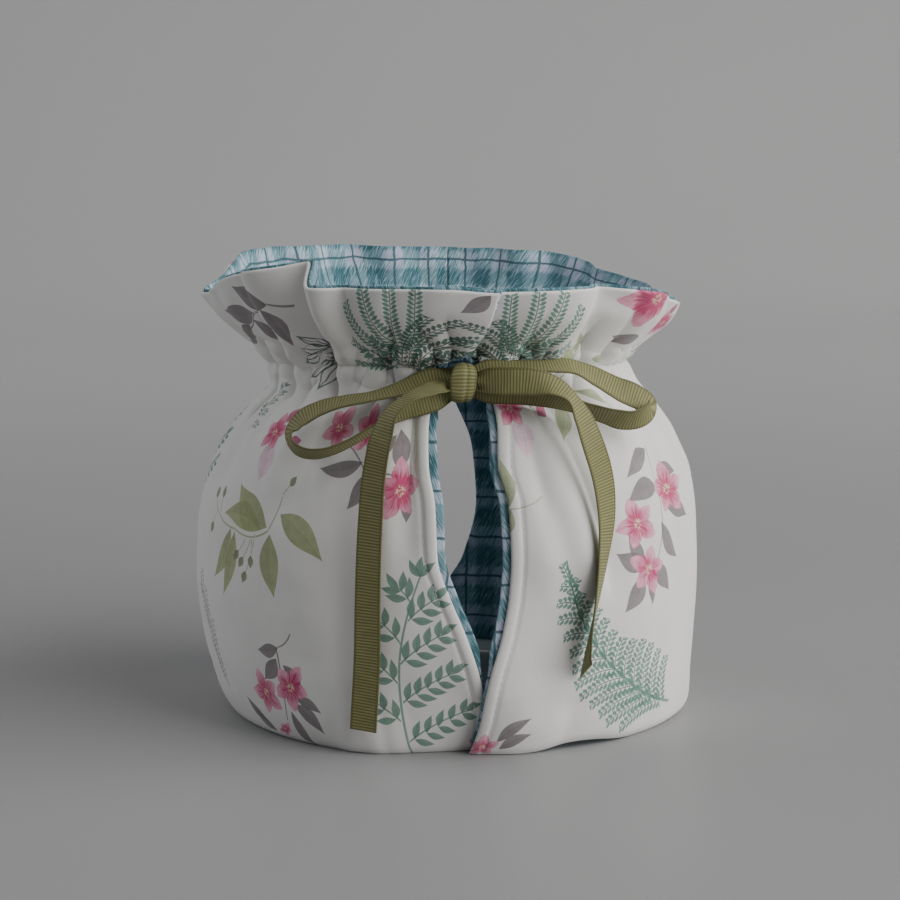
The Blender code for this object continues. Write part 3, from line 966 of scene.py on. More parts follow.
def berry_leaves() -> Drawing:
    """Broad sage leaves round a bent twig, with small berries on threads.

    Returns:
        The motif, its twig starting at the origin.
    """
    made = motif(
        Ink.SAGE_LEAF,
        ((0j, -20 - 2j, 0.12), (-20 - 2j, -37 + 3j, 0.08, 0.4), (0j, 3 + 13j, -0.06, 0.4)),
        (
            (-1 + 1j, 25, 148, 13.0, 0.1), (-4 + 0j, 26, 175, 10.0, -0.1), (4 + 6j, 25, 325, 9.8, 0.08),
            (1 - 1j, 23, 275, 9.6, -0.05), (-20 - 3j, 25, 256, 7.4, 0.06), (-23 - 2j, 23, 240, 7.4, 0.1),
        ),
    )
    for foot, tip in (
        (-9 - 3j, -14 - 12j), (-9 - 3j, -9 - 11j), (-12 - 3j, -17 - 10j), (-7 - 2j, -12 - 17j),
        (-37 + 3j, -40 + 7j), (-37 + 3j, -39 - 3j), (-33 + 2j, -34 + 8j), (3 + 13j, 6 + 17j),
    ):
        made.stem(Ink.SAGE_LEAF, foot, tip, 0.05, 0.3)
        away = (tip - foot) / abs(tip - foot)
        made.leaves.append(Stroke(tip - away, away * 4.8, 0.0, 1.6, Ink.BERRY))
    return made


def pencil_sprig(height: float = 44.0) -> Drawing:
    """A tall sprig of thin grey lines.

    Args:
        height: of its stem.

    Returns:
        The motif, its stem starting at the origin.
    """
    made = motif(Ink.PENCIL, ((0j, height * 1j, 0.05),))
    for t, side, length in (
        (0.08, -1, 17), (0.2, 1, 17), (0.35, -1, 18), (0.5, 1, 16), (0.62, -1, 14), (0.8, 1, 10),
    ):
        made.leaf(Ink.PENCIL, height * 1j * t, length, 90 - side * 16, 4.8, 0.05 * side)
    return made


class Motif(Enum):
    """The print's motifs."""

    # A hanging stem with three blossoms and broad grey leaves
    THREE_BLOSSOMS = motif(
        Ink.GREY_LEAF,
        ((0j, -2 - 14j, -0.05), (-2 - 14j, -7 - 40j, 0.06)),
        (
            (-2 - 1j, 20, 205, 6.6, -0.06), (-3 - 15j, 19, 190, 8.0, -0.14), (3 - 10j, 13, 352, 5.4, 0.1),
            (4 - 24j, 18, 344, 7.0, 0.1), (-4 - 27j, 21, 313, 7.0, -0.1), (-14 - 41j, 15, 158, 7.4),
            (-15 - 39j, 13, 128, 5.4), (-16 - 44j, 16, 236, 7.4, 0.1), (-11 - 43j, 17, 322, 7.6),
            (-13 - 46j, 11, 284, 4.4),
        ),
        (
            (7 - 17j, 11.0, 92, 0.75, 0.55), (-18 - 26j, 10.4, 112, 0.9, 0.6),
            (-13 - 43j, 10.4, 78, 0.95, 0.3),
        ),
    )
    # Three deep blossoms in an arch, with dark leaves between them
    SHOULDER_BLOSSOMS = motif(
        Ink.GREY_LEAF,
        ((-7 + 5j, 1 - 3j), (8 - 3j, 20 - 6j, 0.04)),
        (
            (0j, 19, 190, 5.6), (1 - 4j, 14, 245, 6.0, 0.1), (14 - 2j, 14, 93, 6.2, -0.06),
            (17 - 12j, 8, 276, 4.4), (8 + 2j, 9, 60, 4.2),
        ),
        ((-14 + 11j, 9.6, 62, 1.0, 0.75), (0.5 + 11j, 10.2, 84, 1.2, 0.9), (15 - 9j, 12.0, 93, 1.3, 0.9)),
    )
    # A bent stem with a blossom on each side and narrow grey leaves below them
    TWO_BLOSSOMS = motif(
        Ink.GREY_LEAF,
        ((0j, -7 - 6j, 0.12), (-7 - 6j, -5 - 33j, 0.05)),
        (
            (-6 - 6j, 10, 190, 5.4), (-7 - 10j, 11, 232, 6.4), (-4 - 12j, 13, 312, 4.6),
            (1 - 24j, 12, 340, 4.2), (0 - 26j, 16, 320, 5.4), (-2 - 29j, 17, 300, 4.6, -0.08),
            (-18 - 36j, 13, 140, 3.8), (-14 - 39j, 15, 143, 3.8),
        ),
        ((-1 - 20j, 9.8, 60, 1.0, 0.7), (-14 - 24j, 9.8, 112, 1.15, 0.6), (-8 - 37j, 5.0, 200, 1.6, 0.5)),
    )
    ONE_BLOSSOM = one_blossom()
    # A large open blossom, with a grey leaf well below it
    WIDE_BLOSSOM = motif(Ink.GREY_LEAF, (), ((8 - 19j, 17, 178, 6.0),), ((0j, 14.5, 262, 0.9, 1.0),))
    # A blossom at the hem with two long leaves
    HEM_BLOSSOM = motif(
        Ink.GREY_LEAF, (), ((5 + 2j, 15, 36, 4.6), (6 - 1j, 13, 26, 4.4)), ((0j, 6.8, 15, 1.2, 0.4),)
    )
    FERN = fern()
    FERN_TUFT = fern_tuft()
    BRANCH = leafy_branch()
    BERRY_LEAVES = berry_leaves()
    # A drooping grey twig with broad alternate leaves
    GREY_SPRAY = motif(
        Ink.GREY_LEAF,
        ((9 - 2j, 0j, 0.05, 0.7), (0j, -14 - 3j, 0.06, 0.7), (-14 - 3j, -34 - 11j, 0.06, 0.6)),
        (
            (0j, 25, 158, 9.4), (-15 - 3j, 28, 170, 9.6), (-27 - 8j, 20, 192, 7.4), (-5 - 2j, 19, 288, 9.4),
            (-20 - 6j, 17, 304, 7.6), (-33 - 11j, 13, 214, 5.6),
        ),
    )
    # Two loose clusters of narrow leaves, in outline
    OUTLINED = motif(
        Ink.LEAF_OUTLINE,
        ((7 + 2j, 11 - 4j, 0.1), (7 + 2j, 13 + 8j, 0.1)),
        (
            (7 + 3j, 14, 152, 4.6), (7 + 2j, 15, 176, 5.2), (6 + 1j, 14, 204, 5.0), (8 - 4j, 15, 218, 5.0),
            (9 - 5j, 15, 246, 5.2), (10 - 4j, 13, 276, 4.8),
        ),
    )
    PENCIL = pencil_sprig()
    # A bare little twig with two narrow light-green leaves
    SAGE_TWIG = motif(
        Ink.LIGHT_GREEN,
        ((-3 + 0j, 9 + 4j, -0.08, 0.35),),
        ((-3 + 0j, 17, 96, 5.6, -0.06), (-2 + 0j, 12, 246, 5.0)),
    )
    # Light-green leaves in a loose row
    GREEN_LEAVES = motif(
        Ink.LIGHT_GREEN,
        ((0j, 15 + 13j, 0.08, 0.4),),
        ((0j, 19, 250, 6.84), (6 + 9j, 17, 64, 6.12), (13 + 14j, 15, 112, 5.4), (17 + 2j, 14, 330, 5.04)),
    )
    LONE_LEAF = motif(Ink.GREY_LEAF, (), ((0j, 18, 200, 8.6),))


class Sprig(NamedTuple):
    """A motif on the cloth: where its origin is, how it is turned and how large."""

    motif: Motif
    angle: float
    level: float
    turn: float
    size: float = 1.0
    mirror: bool = False


SPRIGS = table(
    Sprig,
    # Round the front, from left to right
    (Motif.PENCIL, -63, 15, 24),
    (Motif.TWO_BLOSSOMS, -37, 42, 0),
    (Motif.BERRY_LEAVES, -43, 78, 0),
    (Motif.ONE_BLOSSOM, -50, 110, 0),
    (Motif.SHOULDER_BLOSSOMS, -20, 104, 0),
    (Motif.BRANCH, -8.5, -3, -4),
    (Motif.GREY_SPRAY, -50, 157, 0),
    (Motif.OUTLINED, -44, 138, 0, 0.95),
    (Motif.FERN_TUFT, -14, 134, 0),
    (Motif.LONE_LEAF, 9.5, 168.5, 22, 0.8),
    (Motif.FERN_TUFT, 22, 133, 0, 1.0, True),
    (Motif.ONE_BLOSSOM, 16.5, 119, 6),
    (Motif.SAGE_TWIG, 15, 90, 0),
    (Motif.THREE_BLOSSOMS, 57, 105, 0),
    (Motif.FERN, 62, 10, 44),
    (Motif.HEM_BLOSSOM, 8.5, 4, 0),
    (Motif.GREEN_LEAVES, 33, 122, 0),
    (Motif.GREEN_LEAVES, 41, 132, 20, 0.8),
    (Motif.WIDE_BLOSSOM, 57, 166, 0, 1.1),
    (Motif.ONE_BLOSSOM, 80, 157, 40, 1.1),
    # Round the right side to the back
    (Motif.BRANCH, 94, 64, -12, 0.8, True),
    (Motif.TWO_BLOSSOMS, 84, 44, 30, 1.0, True),
    (Motif.OUTLINED, 84, 138, 60),
    (Motif.BERRY_LEAVES, 113, 40, 20, 1.0, True),
    (Motif.SHOULDER_BLOSSOMS, 122, 104, 12, 1.0, True),
    (Motif.FERN, 158, 4, 36, 0.9),
    (Motif.PENCIL, 98, 2, -10, 0.8),
    (Motif.FERN_TUFT, 112, 134, -6, 0.95),
    (Motif.GREY_SPRAY, 160, 104, 30, 0.9),
    (Motif.TWO_BLOSSOMS, 172, 58, 0, 0.9),
    (Motif.WIDE_BLOSSOM, 145, 160, 40, 0.8),
    (Motif.GREEN_LEAVES, 168, 142, 10, 0.9),
    # Round the left side to the back
    (Motif.BRANCH, -86, 78, 8, 0.7),
    (Motif.BRANCH, -68, 108, -30, 0.35),
    (Motif.THREE_BLOSSOMS, -112, 96, 0, 0.95, True),
    (Motif.FERN, -143, 4, -36, 0.85, True),
    (Motif.TWO_BLOSSOMS, -88, 40, 14, 0.9),
    (Motif.WIDE_BLOSSOM, -108, 162, 130, 0.8),
    (Motif.OUTLINED, -98, 150, 30),
    (Motif.BERRY_LEAVES, -132, 100, -18, 0.95),
    (Motif.LONE_LEAF, -104, 26, 60, 0.9),
    (Motif.THREE_BLOSSOMS, -154, 76, 0, 0.95),
    (Motif.FERN_TUFT, -138, 134, 6, 0.95, True),
    (Motif.BRANCH, -170, 60, 10, 0.8, True),
    (Motif.PENCIL, -128, 44, 20, 0.8),
    (Motif.SAGE_TWIG, -172, 22, 40, 1.2),
    (Motif.ONE_BLOSSOM, -166, 152, 10),
)

LEAF_LAYERS = ("leaf", "upper_leaf")


class FloralPrint:
    """All motifs on the flat cloth, and what each piece of mesh shows of them.

    Each face belongs to one mark of a layer, or to none. Its corners store their places about that mark.
    """

    reach = 1.3  # how far outside a mark its faces may lie
    no_stroke = (-1.0, 99.0, 0.0)
    no_bloom = (9.0, 9.0, 0.0)

    def __init__(self) -> None:
        """Draws every motif in its place."""
        self.drawing = Drawing()
        for row in SPRIGS:
            at = on_flat(row.angle, max(row.level, 0.0)) + 1j * min(row.level, 0.0)
            self.drawing.add(row.motif.value, complex(at), row.turn, row.size, row.mirror)

    def nearest(self, marks: Sequence[Stroke | Bloom], at: Array) -> Array:
        """The mark that each face belongs to.

        Args:
            marks: the marks of a layer.
            at: each face corner's place on the flat cloth.

        Returns:
            A mark's number for each corner, the same for the four of a face, or -1.
        """
        centres = at.reshape(-1, 4).mean(1)
        best = np.full(len(centres), self.reach)
        chosen = np.full(len(centres), -1)
        for number, mark in enumerate(marks):
            middle, radius = mark.disc()
            close = np.flatnonzero(np.abs(centres - middle) < radius + self.reach)
            away = mark.outside(centres[close])
            nearer = away < best[close]
            best[close[nearer]] = away[nearer]
            chosen[close[nearer]] = number
        return np.repeat(chosen, 4)

    def paint_strokes(self, mesh: bpy.types.Mesh, at: Array, strokes: list[Stroke], name: str) -> None:
        """Stores, at each corner, its place along and across the stroke of its face.

        The attribute of the given name holds the share along the rib, the millimetres beside it and the
        half width. A second one, with _ink added, holds the ink's number and the stroke's length.

        Args:
            mesh: the mesh.
            at: each face corner's place on the flat cloth.
            strokes: the strokes of one layer.
            name: the attribute.
        """
        chosen = self.nearest(strokes, at)
        base, span, bend, half_width, ink = (np.array(values)[chosen] for values in zip(*strokes))
        place = np.stack([*on_rib(at, base, span, bend), half_width], -1)
        set_corners(mesh, name, np.where((chosen < 0)[:, None], self.no_stroke, place))
        set_corners(mesh, name + "_ink", np.stack([ink, np.abs(span), np.zeros(len(chosen))], -1))

    def paint_blooms(self, mesh: bpy.types.Mesh, at: Array, blooms: list[Bloom], name: str) -> None:
        """Stores, at each corner, its place in petal lengths about its face's blossom.

        Args:
            mesh: the mesh.
            at: each face corner's place on the flat cloth.
            blooms: the blossoms.
            name: the attribute, whose third number is the depth of the colour.
        """
        chosen = self.nearest(blooms, at)
        centre, petal, squeeze, depth = (np.array(values)[chosen] for values in zip(*blooms))
        inside = (at - centre) / petal
        place = np.stack([inside.real, inside.imag * squeeze, depth], -1)
        set_corners(mesh, name, np.where((chosen < 0)[:, None], self.no_bloom, place))

    def leaf_layers(self) -> tuple[list[Stroke], list[Stroke]]:
        """The leaves shared out so that those that overlap lie on different layers.

        Each leaf in turn goes to the layer whose leaves keep further away from places along its rib.

        Returns:
            Both layers.
        """
        share = np.linspace(0.1, 0.9, 5)
        layers: tuple[list[Stroke], list[Stroke]] = ([], [])
        taken = [np.empty(0, complex), np.empty(0, complex)]
        for stroke in self.drawing.leaves:
            rib = stroke.base + stroke.span * bowed(share, stroke.bend)
            room = [np.abs(rib[:, None] - others).min(initial=99.0) for others in taken]
            chosen = int(room[1] > room[0])
            layers[chosen].append(stroke)
            taken[chosen] = np.concatenate([taken[chosen], rib])
        return layers

    def paint(self, made: bpy.types.Object, flat: Array) -> None:
        """Stores all layers of the print on a panel, from each grid point's place on the flat cloth.

        Args:
            made: the panel.
            flat: each grid point's place on the flat cloth.
        """
        at = np.tile(flat.ravel(), 2)[corner_vertices(made.data)]
        self.paint_strokes(made.data, at, self.drawing.stems, "stem")
        for name, leaves in zip(LEAF_LAYERS, self.leaf_layers()):
            self.paint_strokes(made.data, at, leaves, name)
        self.paint_blooms(made.data, at, self.drawing.blooms, "bloom")


# --- Shader arithmetic ---


def operator(operation: str, swapped: bool = False) -> Callable[..., "Value"]:
    """A method that puts its value and any others through a Math node.

    Args:
        operation: the Math node's operation.
        swapped: whether the other comes first, as in 1 - mask.

    Returns:
        The method.
    """

    def method(self: "Value", *others: "Value | float") -> "Value":
        """Adds the Math node."""
        inputs = (*others, self) if swapped else (self, *others)
        return self.recipe.node("ShaderNodeMath", {"operation": operation}, dict(enumerate(inputs)))

    return method


class Value:
    """A socket in a finish's arithmetic. Each of its operators adds a Math node."""

    __add__ = __radd__ = operator("ADD")
    __sub__ = operator("SUBTRACT")
    __rsub__ = operator("SUBTRACT", swapped=True)
    __mul__ = __rmul__ = operator("MULTIPLY")
    __truediv__ = operator("DIVIDE")
    __pow__ = operator("POWER")
    __abs__ = operator("ABSOLUTE")
    sine = operator("SINE")
    part = operator("FRACT")  # what is left after the whole number below
    above = operator("GREATER_THAN")  # 1 above the limit, else 0
    least = operator("MINIMUM")
    most = operator("MAXIMUM")
    turn_from = operator("ARCTAN2")  # the angle of this height over that distance
    is_near = operator("COMPARE")  # 1 where this is within a distance of a number, else 0

    def __init__(self, recipe: "Recipe", socket: bpy.types.NodeSocket) -> None:
        """Wraps a node's output."""
        self.recipe = recipe
        self.socket = socket

    def smooth(self, low: float, high: float) -> "Value":
        """0 below low, 1 above high, and a smooth S between; falling where low is the larger.

        Args:
            low: where it is 0.
            high: where it is 1.

        Returns:
            The S-shaped share.
        """
        rising = float(low < high)
        inputs = {"From Min": min(low, high), "From Max": max(low, high)}
        inputs |= {"To Min": 1 - rising, "To Max": rising}
        settings = {"interpolation_type": "SMOOTHSTEP"}
        return self.recipe.node("ShaderNodeMapRange", settings, {"Value": self, **inputs})

    def inside_0_1(self) -> "Value":
        """1 between 0 and 1, else 0."""
        return self.above(0.0) * (1 - self.above(1.0))


class Recipe:
    """The node tree of one finish, written as expressions."""

    def __init__(self, name: str) -> None:
        """An empty material of that name."""
        self.material = bpy.data.materials.new(name)
        self.material.use_nodes = True
        self.tree = self.material.node_tree
        self.tree.nodes.clear()

    def node(self, kind: str, settings: dict, inputs: dict, output: int | str = 0) -> Value:
        """Adds a node.

        Args:
            kind: the node's type.
            settings: its properties, or "stops" for a colour ramp's positions and colours.
            inputs: values or links of its sockets, by name or number.
            output: the socket to hand back.

        Returns:
            That output.
        """
        made = self.tree.nodes.new(kind)
        for key, value in settings.items():
            if key == "stops":
                self.set_ramp(made.color_ramp, value)
            else:
                setattr(made, key, value)
        for key, value in inputs.items():
            self.plug(made.inputs[key], value)
        return Value(self, made.outputs[output])

    @staticmethod
    def set_ramp(ramp: bpy.types.ColorRamp, stops: Sequence[tuple[float, Colour]]) -> None:
        """Puts stops on a ramp, each colour holding up to the next one.

        Args:
            ramp: the ramp.
            stops: each one's position and colour, rising.
        """
        ramp.interpolation = "CONSTANT"
        while len(ramp.elements) < len(stops):
            ramp.elements.new(1.0)
        for element, (position, colour) in zip(ramp.elements, stops):
            element.position = position
            element.color = (*colour, 1.0)

    def plug(self, socket: bpy.types.NodeSocket, value: "Value | float | Sequence[float]") -> None:
        """Links a value to a socket, or sets the socket's own number or colour."""
        if isinstance(value, Value):
            self.tree.links.new(value.socket, socket)
        else:
            socket.default_value = (*value, 1.0) if socket.type == "RGBA" else value

    def mix(self, factor: "Value | float", first: "Value | Colour", second: "Value | Colour") -> Value:
        """The first colour where the factor is 0, the second where it is 1."""
        settings = {"data_type": "RGBA", "clamp_factor": True}
        return self.node("ShaderNodeMix", settings, {0: factor, 6: first, 7: second}, 2)

    def scaled(self, colour: "Value | Colour", by: Value) -> Value:
        """A colour made lighter or darker."""
        return self.node("ShaderNodeVectorMath", {"operation": "SCALE"}, {0: colour, "Scale": by})

    def attribute(self, name: str) -> tuple[Value, Value, Value]:
        """The three numbers of a mesh attribute."""
        return self.split(self.node("ShaderNodeAttribute", {"attribute_name": name}, {}, "Vector"))

    def split(self, vector: Value) -> tuple[Value, Value, Value]:
        """The three numbers of a vector."""
        parts = self.node("ShaderNodeSeparateXYZ", {}, {0: vector})
        x, y, z = (Value(self, output) for output in parts.socket.node.outputs)
        return x, y, z

    def join(self, x: "Value | float", y: "Value | float", z: "Value | float" = 0.0) -> Value:
        """A vector of three numbers."""
        return self.node("ShaderNodeCombineXYZ", {}, {0: x, 1: y, 2: z})

    def flat_cloth(self) -> tuple[Value, Value]:
        """Millimetres along and up the flat cloth."""
        along, up, _ = self.split(self.node("ShaderNodeUVMap", {"uv_map": CLOTH_MAP}, {}))
        return along * UV_SPAN, up * UV_SPAN

    def place(self) -> Value:
        """The place on the object, in metres."""
        return self.node("ShaderNodeTexCoord", {}, {}, "Object")

    def noise(self, at: Value, scale: float = 1.0, detail: float = 2.0) -> Value:
        """Soft noise from 0 to 1."""
        return self.node("ShaderNodeTexNoise", {}, {"Vector": at, "Scale": scale, "Detail": detail})

    def raised(self, height: Value, distance: float, strength: float, **under: Value) -> Value:
        """A normal that shows a height, on the Normal under it where one is given."""
        inputs = {"Height": height, "Distance": distance, "Strength": strength, **under}
        return self.node("ShaderNodeBump", {}, inputs)

    def finish(self, colour: Value, roughness: "Value | float", sockets: dict) -> bpy.types.Material:
        """Ends the tree in a Principled surface with this colour, roughness and other sockets.

        Args:
            colour: its base colour.
            roughness: its roughness.
            sockets: values of other sockets by name.

        Returns:
            The material.
        """
        sockets = {"Base Color": colour, "Roughness": roughness, **sockets}
        shader = self.node("ShaderNodeBsdfPrincipled", {}, sockets, "BSDF")
        shown = self.tree.nodes.new("ShaderNodeOutputMaterial")
        self.plug(shown.inputs["Surface"], shader)
        return self.material


# --- Finishes ---


@dataclass(frozen=True)
class WovenGround:
    """The plain weave that the cottons share."""

    thread: float = 0.42  # millimetres from thread to thread
    thread_height: float = 0.00005
    rumple_height: float = 0.0005
    down: float = 0.12  # how much light the fibres catch at a glance
    gloss: float = 0.25

    def sockets(self, recipe: Recipe, along: Value, up: Value) -> dict:
        """Threads that pass over and under each other, on softly rumpled, slightly downy cloth."""
        weave = (along * (math.tau / self.thread)).sine() * (up * (math.tau / self.thread)).sine()
        soft = recipe.raised(recipe.noise(recipe.place(), 130.0, 3.0), self.rumple_height, 0.55)
        threads = recipe.raised(weave, self.thread_height, 0.5, Normal=soft)
        return {"Normal": threads, "Sheen Weight": self.down, "Specular IOR Level": self.gloss}


@dataclass(frozen=True)
class PrintedCotton:
    """Off-white cotton with the flower and leaf print."""

    ground: Colour = (0.80, 0.785, 0.76)
    shade: Colour = (0.75, 0.735, 0.71)
    inks: tuple[Colour, ...] = (
        (0.215, 0.185, 0.195),  # grey leaf
        (0.34, 0.37, 0.18),  # sage leaf
        (0.14, 0.27, 0.21),  # teal leaflet
        (0.24, 0.27, 0.15),  # berry
        (0.76, 0.56, 0.64),  # pale petal
        (0.50, 0.10, 0.22),  # bud
        (0.36, 0.41, 0.24),  # light green
        (0.16, 0.15, 0.16),  # pencil
        (0.07, 0.13, 0.11),  # leaf outline
        (0.115, 0.265, 0.21),  # fern
        (0.062, 0.145, 0.115),  # dark fern
    )
    petal: Colour = (0.82, 0.42, 0.55)
    petal_deep: Colour = (0.52, 0.03, 0.14)
    stamen: Colour = (0.72, 0.68, 0.42)
    weave: WovenGround = WovenGround()

    def inked(self, recipe: Recipe, ink: Value) -> Value:
        """The colour of an ink's number."""
        share = 1 / len(self.inks)
        stops = [(number * share, colour) for number, colour in enumerate(self.inks)]
        return recipe.node("ShaderNodeValToRGB", {"stops": stops}, {0: (ink + 0.5) * share})

    def stem_mask(self, recipe: Recipe) -> tuple[Value, Value]:
        """Where the stems are, and their ink: a line that thins a little to its tip."""
        along, aside, width = recipe.attribute("stem")
        ink, _, _ = recipe.attribute("stem_ink")
        inside = width * (1.5 - along * 0.5) - abs(aside)
        return inside.smooth(-0.07, 0.10) * along.inside_0_1(), ink

    def leaf_mask(
        self, recipe: Recipe, layer: str, grain: Value, wash: Value
    ) -> tuple[Value, Value, Value]:
        """Where a layer's leaves are, their ink and how dark it is.

        A plain leaf is as wide as the sine of its length's share. A frond has small oval leaflets in
        pairs, which slant towards its tip. A pencil leaf is a row of short dashes, and an outlined leaf
        is the edge and midrib of a plain one.

        Args:
            recipe: the node tree.
            layer: the attribute that holds the layer.
            grain: noise that roughens the edges.
            wash: broad noise that clouds the colour.

        Returns:
            The mask, the ink's number and the tone.
        """
        along, aside, width = recipe.attribute(layer)
        ink, length, _ = recipe.attribute(layer + "_ink")
        away, left = abs(aside), aside.above(0.0)
        depth = width * ((along**0.85) * math.pi).sine() ** 1.2 - away + (grain - 0.5) * 0.25
        plain = depth.smooth(-0.07, 0.10)
        line = abs(depth - 0.35).smooth(0.42, 0.16) * depth.above(-0.1)
        rib = away.smooth(0.26, 0.12)
        outline = (line + rib * plain).least(1.0)

        reach = width * (1.10 - along * 0.42)
        run = along * length - away * 0.55
        beat = abs((run / (width * 0.18 + 1.40) + left * 0.35).part() - 0.5)
        oval = (((away / reach).least(1.0) ** 1.25) * math.pi).sine() * 0.46
        leaflet = (oval - beat + (grain - 0.5) * 0.20).smooth(-0.05, 0.09)
        spine = away.smooth(0.30, 0.14)
        frond = (leaflet + spine).least(1.0)
        dashes = (0.30 - beat).smooth(-0.04, 0.08) * (away / reach - 0.55).above(0.0)
        dashes = dashes * (1 - (away / reach).above(1.0)) * 0.9
        pencil = (dashes + away.smooth(0.16, 0.08)).least(1.0)

        is_pencil = ink.is_near(float(Ink.PENCIL), 0.4)
        is_outline = ink.is_near(float(Ink.LEAF_OUTLINE), 0.4)
        is_frond = ink.above(Ink.LEAF_OUTLINE + 0.5)
        is_plain = 1 - is_pencil - is_outline - is_frond
        mask = plain * is_plain + frond * is_frond + outline * is_outline + pencil * is_pencil

        vein = rib * 0.14 * is_plain + spine * 0.22 * is_frond
        tone = 0.88 + left * 0.10 * is_plain + (grain - 0.5) * 0.5
        tone = tone + (wash - 0.5) * (0.5 + is_frond * 0.9) + along * 0.16 - vein
        return mask * along.inside_0_1(), ink, tone

    def blossom(self, recipe: Recipe, grain: Value, wash: Value) -> tuple[Value, Value]:
        """Where the blossoms are, and their colour.

        A blossom has five petals of uneven length. In polar form a petal is as wide as the sine of the
        share of its length. Its colour is deepest at its foot, along streaks that run outwards and at
        its edge, and is pale and cloudy between them.

        Args:
            recipe: the node tree.
            grain: fine noise that roughens the edges.
            wash: broad noise that clouds the colour.

        Returns:
            The mask and the colour.
        """
        x, y, depth = recipe.attribute("bloom")
        bent = (wash - 0.5) * 0.30
        x, y = x + bent * y, y - bent * x
        radius = (x * x + y * y) ** 0.5
        turn = y.turn_from(x) * (5 / math.tau) + 10.5
        beat = turn.part() - 0.5
        number = turn - turn.part()
        share = radius / ((number * 2.3 + depth * 5.0).sine() * 0.10 + 0.90)
        beside = abs(beat) * (math.tau / 5) * radius
        shape = ((share**1.15).least(1.0) * math.pi).sine()
        inside = shape * 0.31 - beside + (grain - 0.5) * 0.09
        petals = (inside + 0.012).smooth(-0.02, 0.035) * (1 - share.above(1.0))
        mask = (petals + radius.smooth(0.14, 0.09)).least(1.0)
        streaks = recipe.noise(recipe.join(turn * 8.0, radius * 1.2, depth * 7.0)).smooth(0.42, 0.62)
        foot = share.smooth(0.90, 0.12)
        edge = inside.smooth(0.06, 0.0) * 0.28
        fine = beside.smooth(0.035, 0.0) * share.smooth(0.9, 0.5)
        deep = foot * (0.32 + streaks * 0.75 + depth * 0.45) + edge + fine * 0.35 + depth * 0.22
        deep = deep + (wash - 0.5) * 1.1
        colour = recipe.mix(deep.least(1.0).most(0.0), self.petal, self.petal_deep)
        stamens = recipe.noise(recipe.join(x * 16.0, y * 16.0, depth), 1.0, 1.0).smooth(0.48, 0.56)
        return mask, recipe.mix(radius.smooth(0.22, 0.12) * stamens * 0.85, colour, self.stamen)

    def material(self) -> bpy.types.Material:
        """Ground, stems, leaves and blossoms, one over the other, on the weave.

        Returns:
            The material.
        """
        recipe = Recipe("printed cotton")
        along, up = recipe.flat_cloth()
        cloth = recipe.join(along, up)
        cloud, grain = recipe.noise(cloth, 0.045, 3.0), recipe.noise(cloth, 1.6)
        wash = recipe.noise(cloth, 0.30)
        fibre = recipe.noise(recipe.join(along * 2.2, up * 0.25))
        ground = recipe.mix(cloud.smooth(0.35, 0.75) * 0.8 + fibre * 0.2, self.ground, self.shade)
        stem, stem_ink = self.stem_mask(recipe)
        colour = recipe.mix(stem * 0.85, ground, self.inked(recipe, stem_ink))
        for layer in LEAF_LAYERS:
            leaf, leaf_ink, tone = self.leaf_mask(recipe, layer, grain, wash)
            colour = recipe.mix(leaf * 0.90, colour, recipe.scaled(self.inked(recipe, leaf_ink), tone))
        bloom, bloom_colour = self.blossom(recipe, grain, wash)
        colour = recipe.mix(bloom * 0.94, colour, bloom_colour)
        return recipe.finish(colour, 0.86 + grain * 0.08, self.weave.sockets(recipe, along, up))


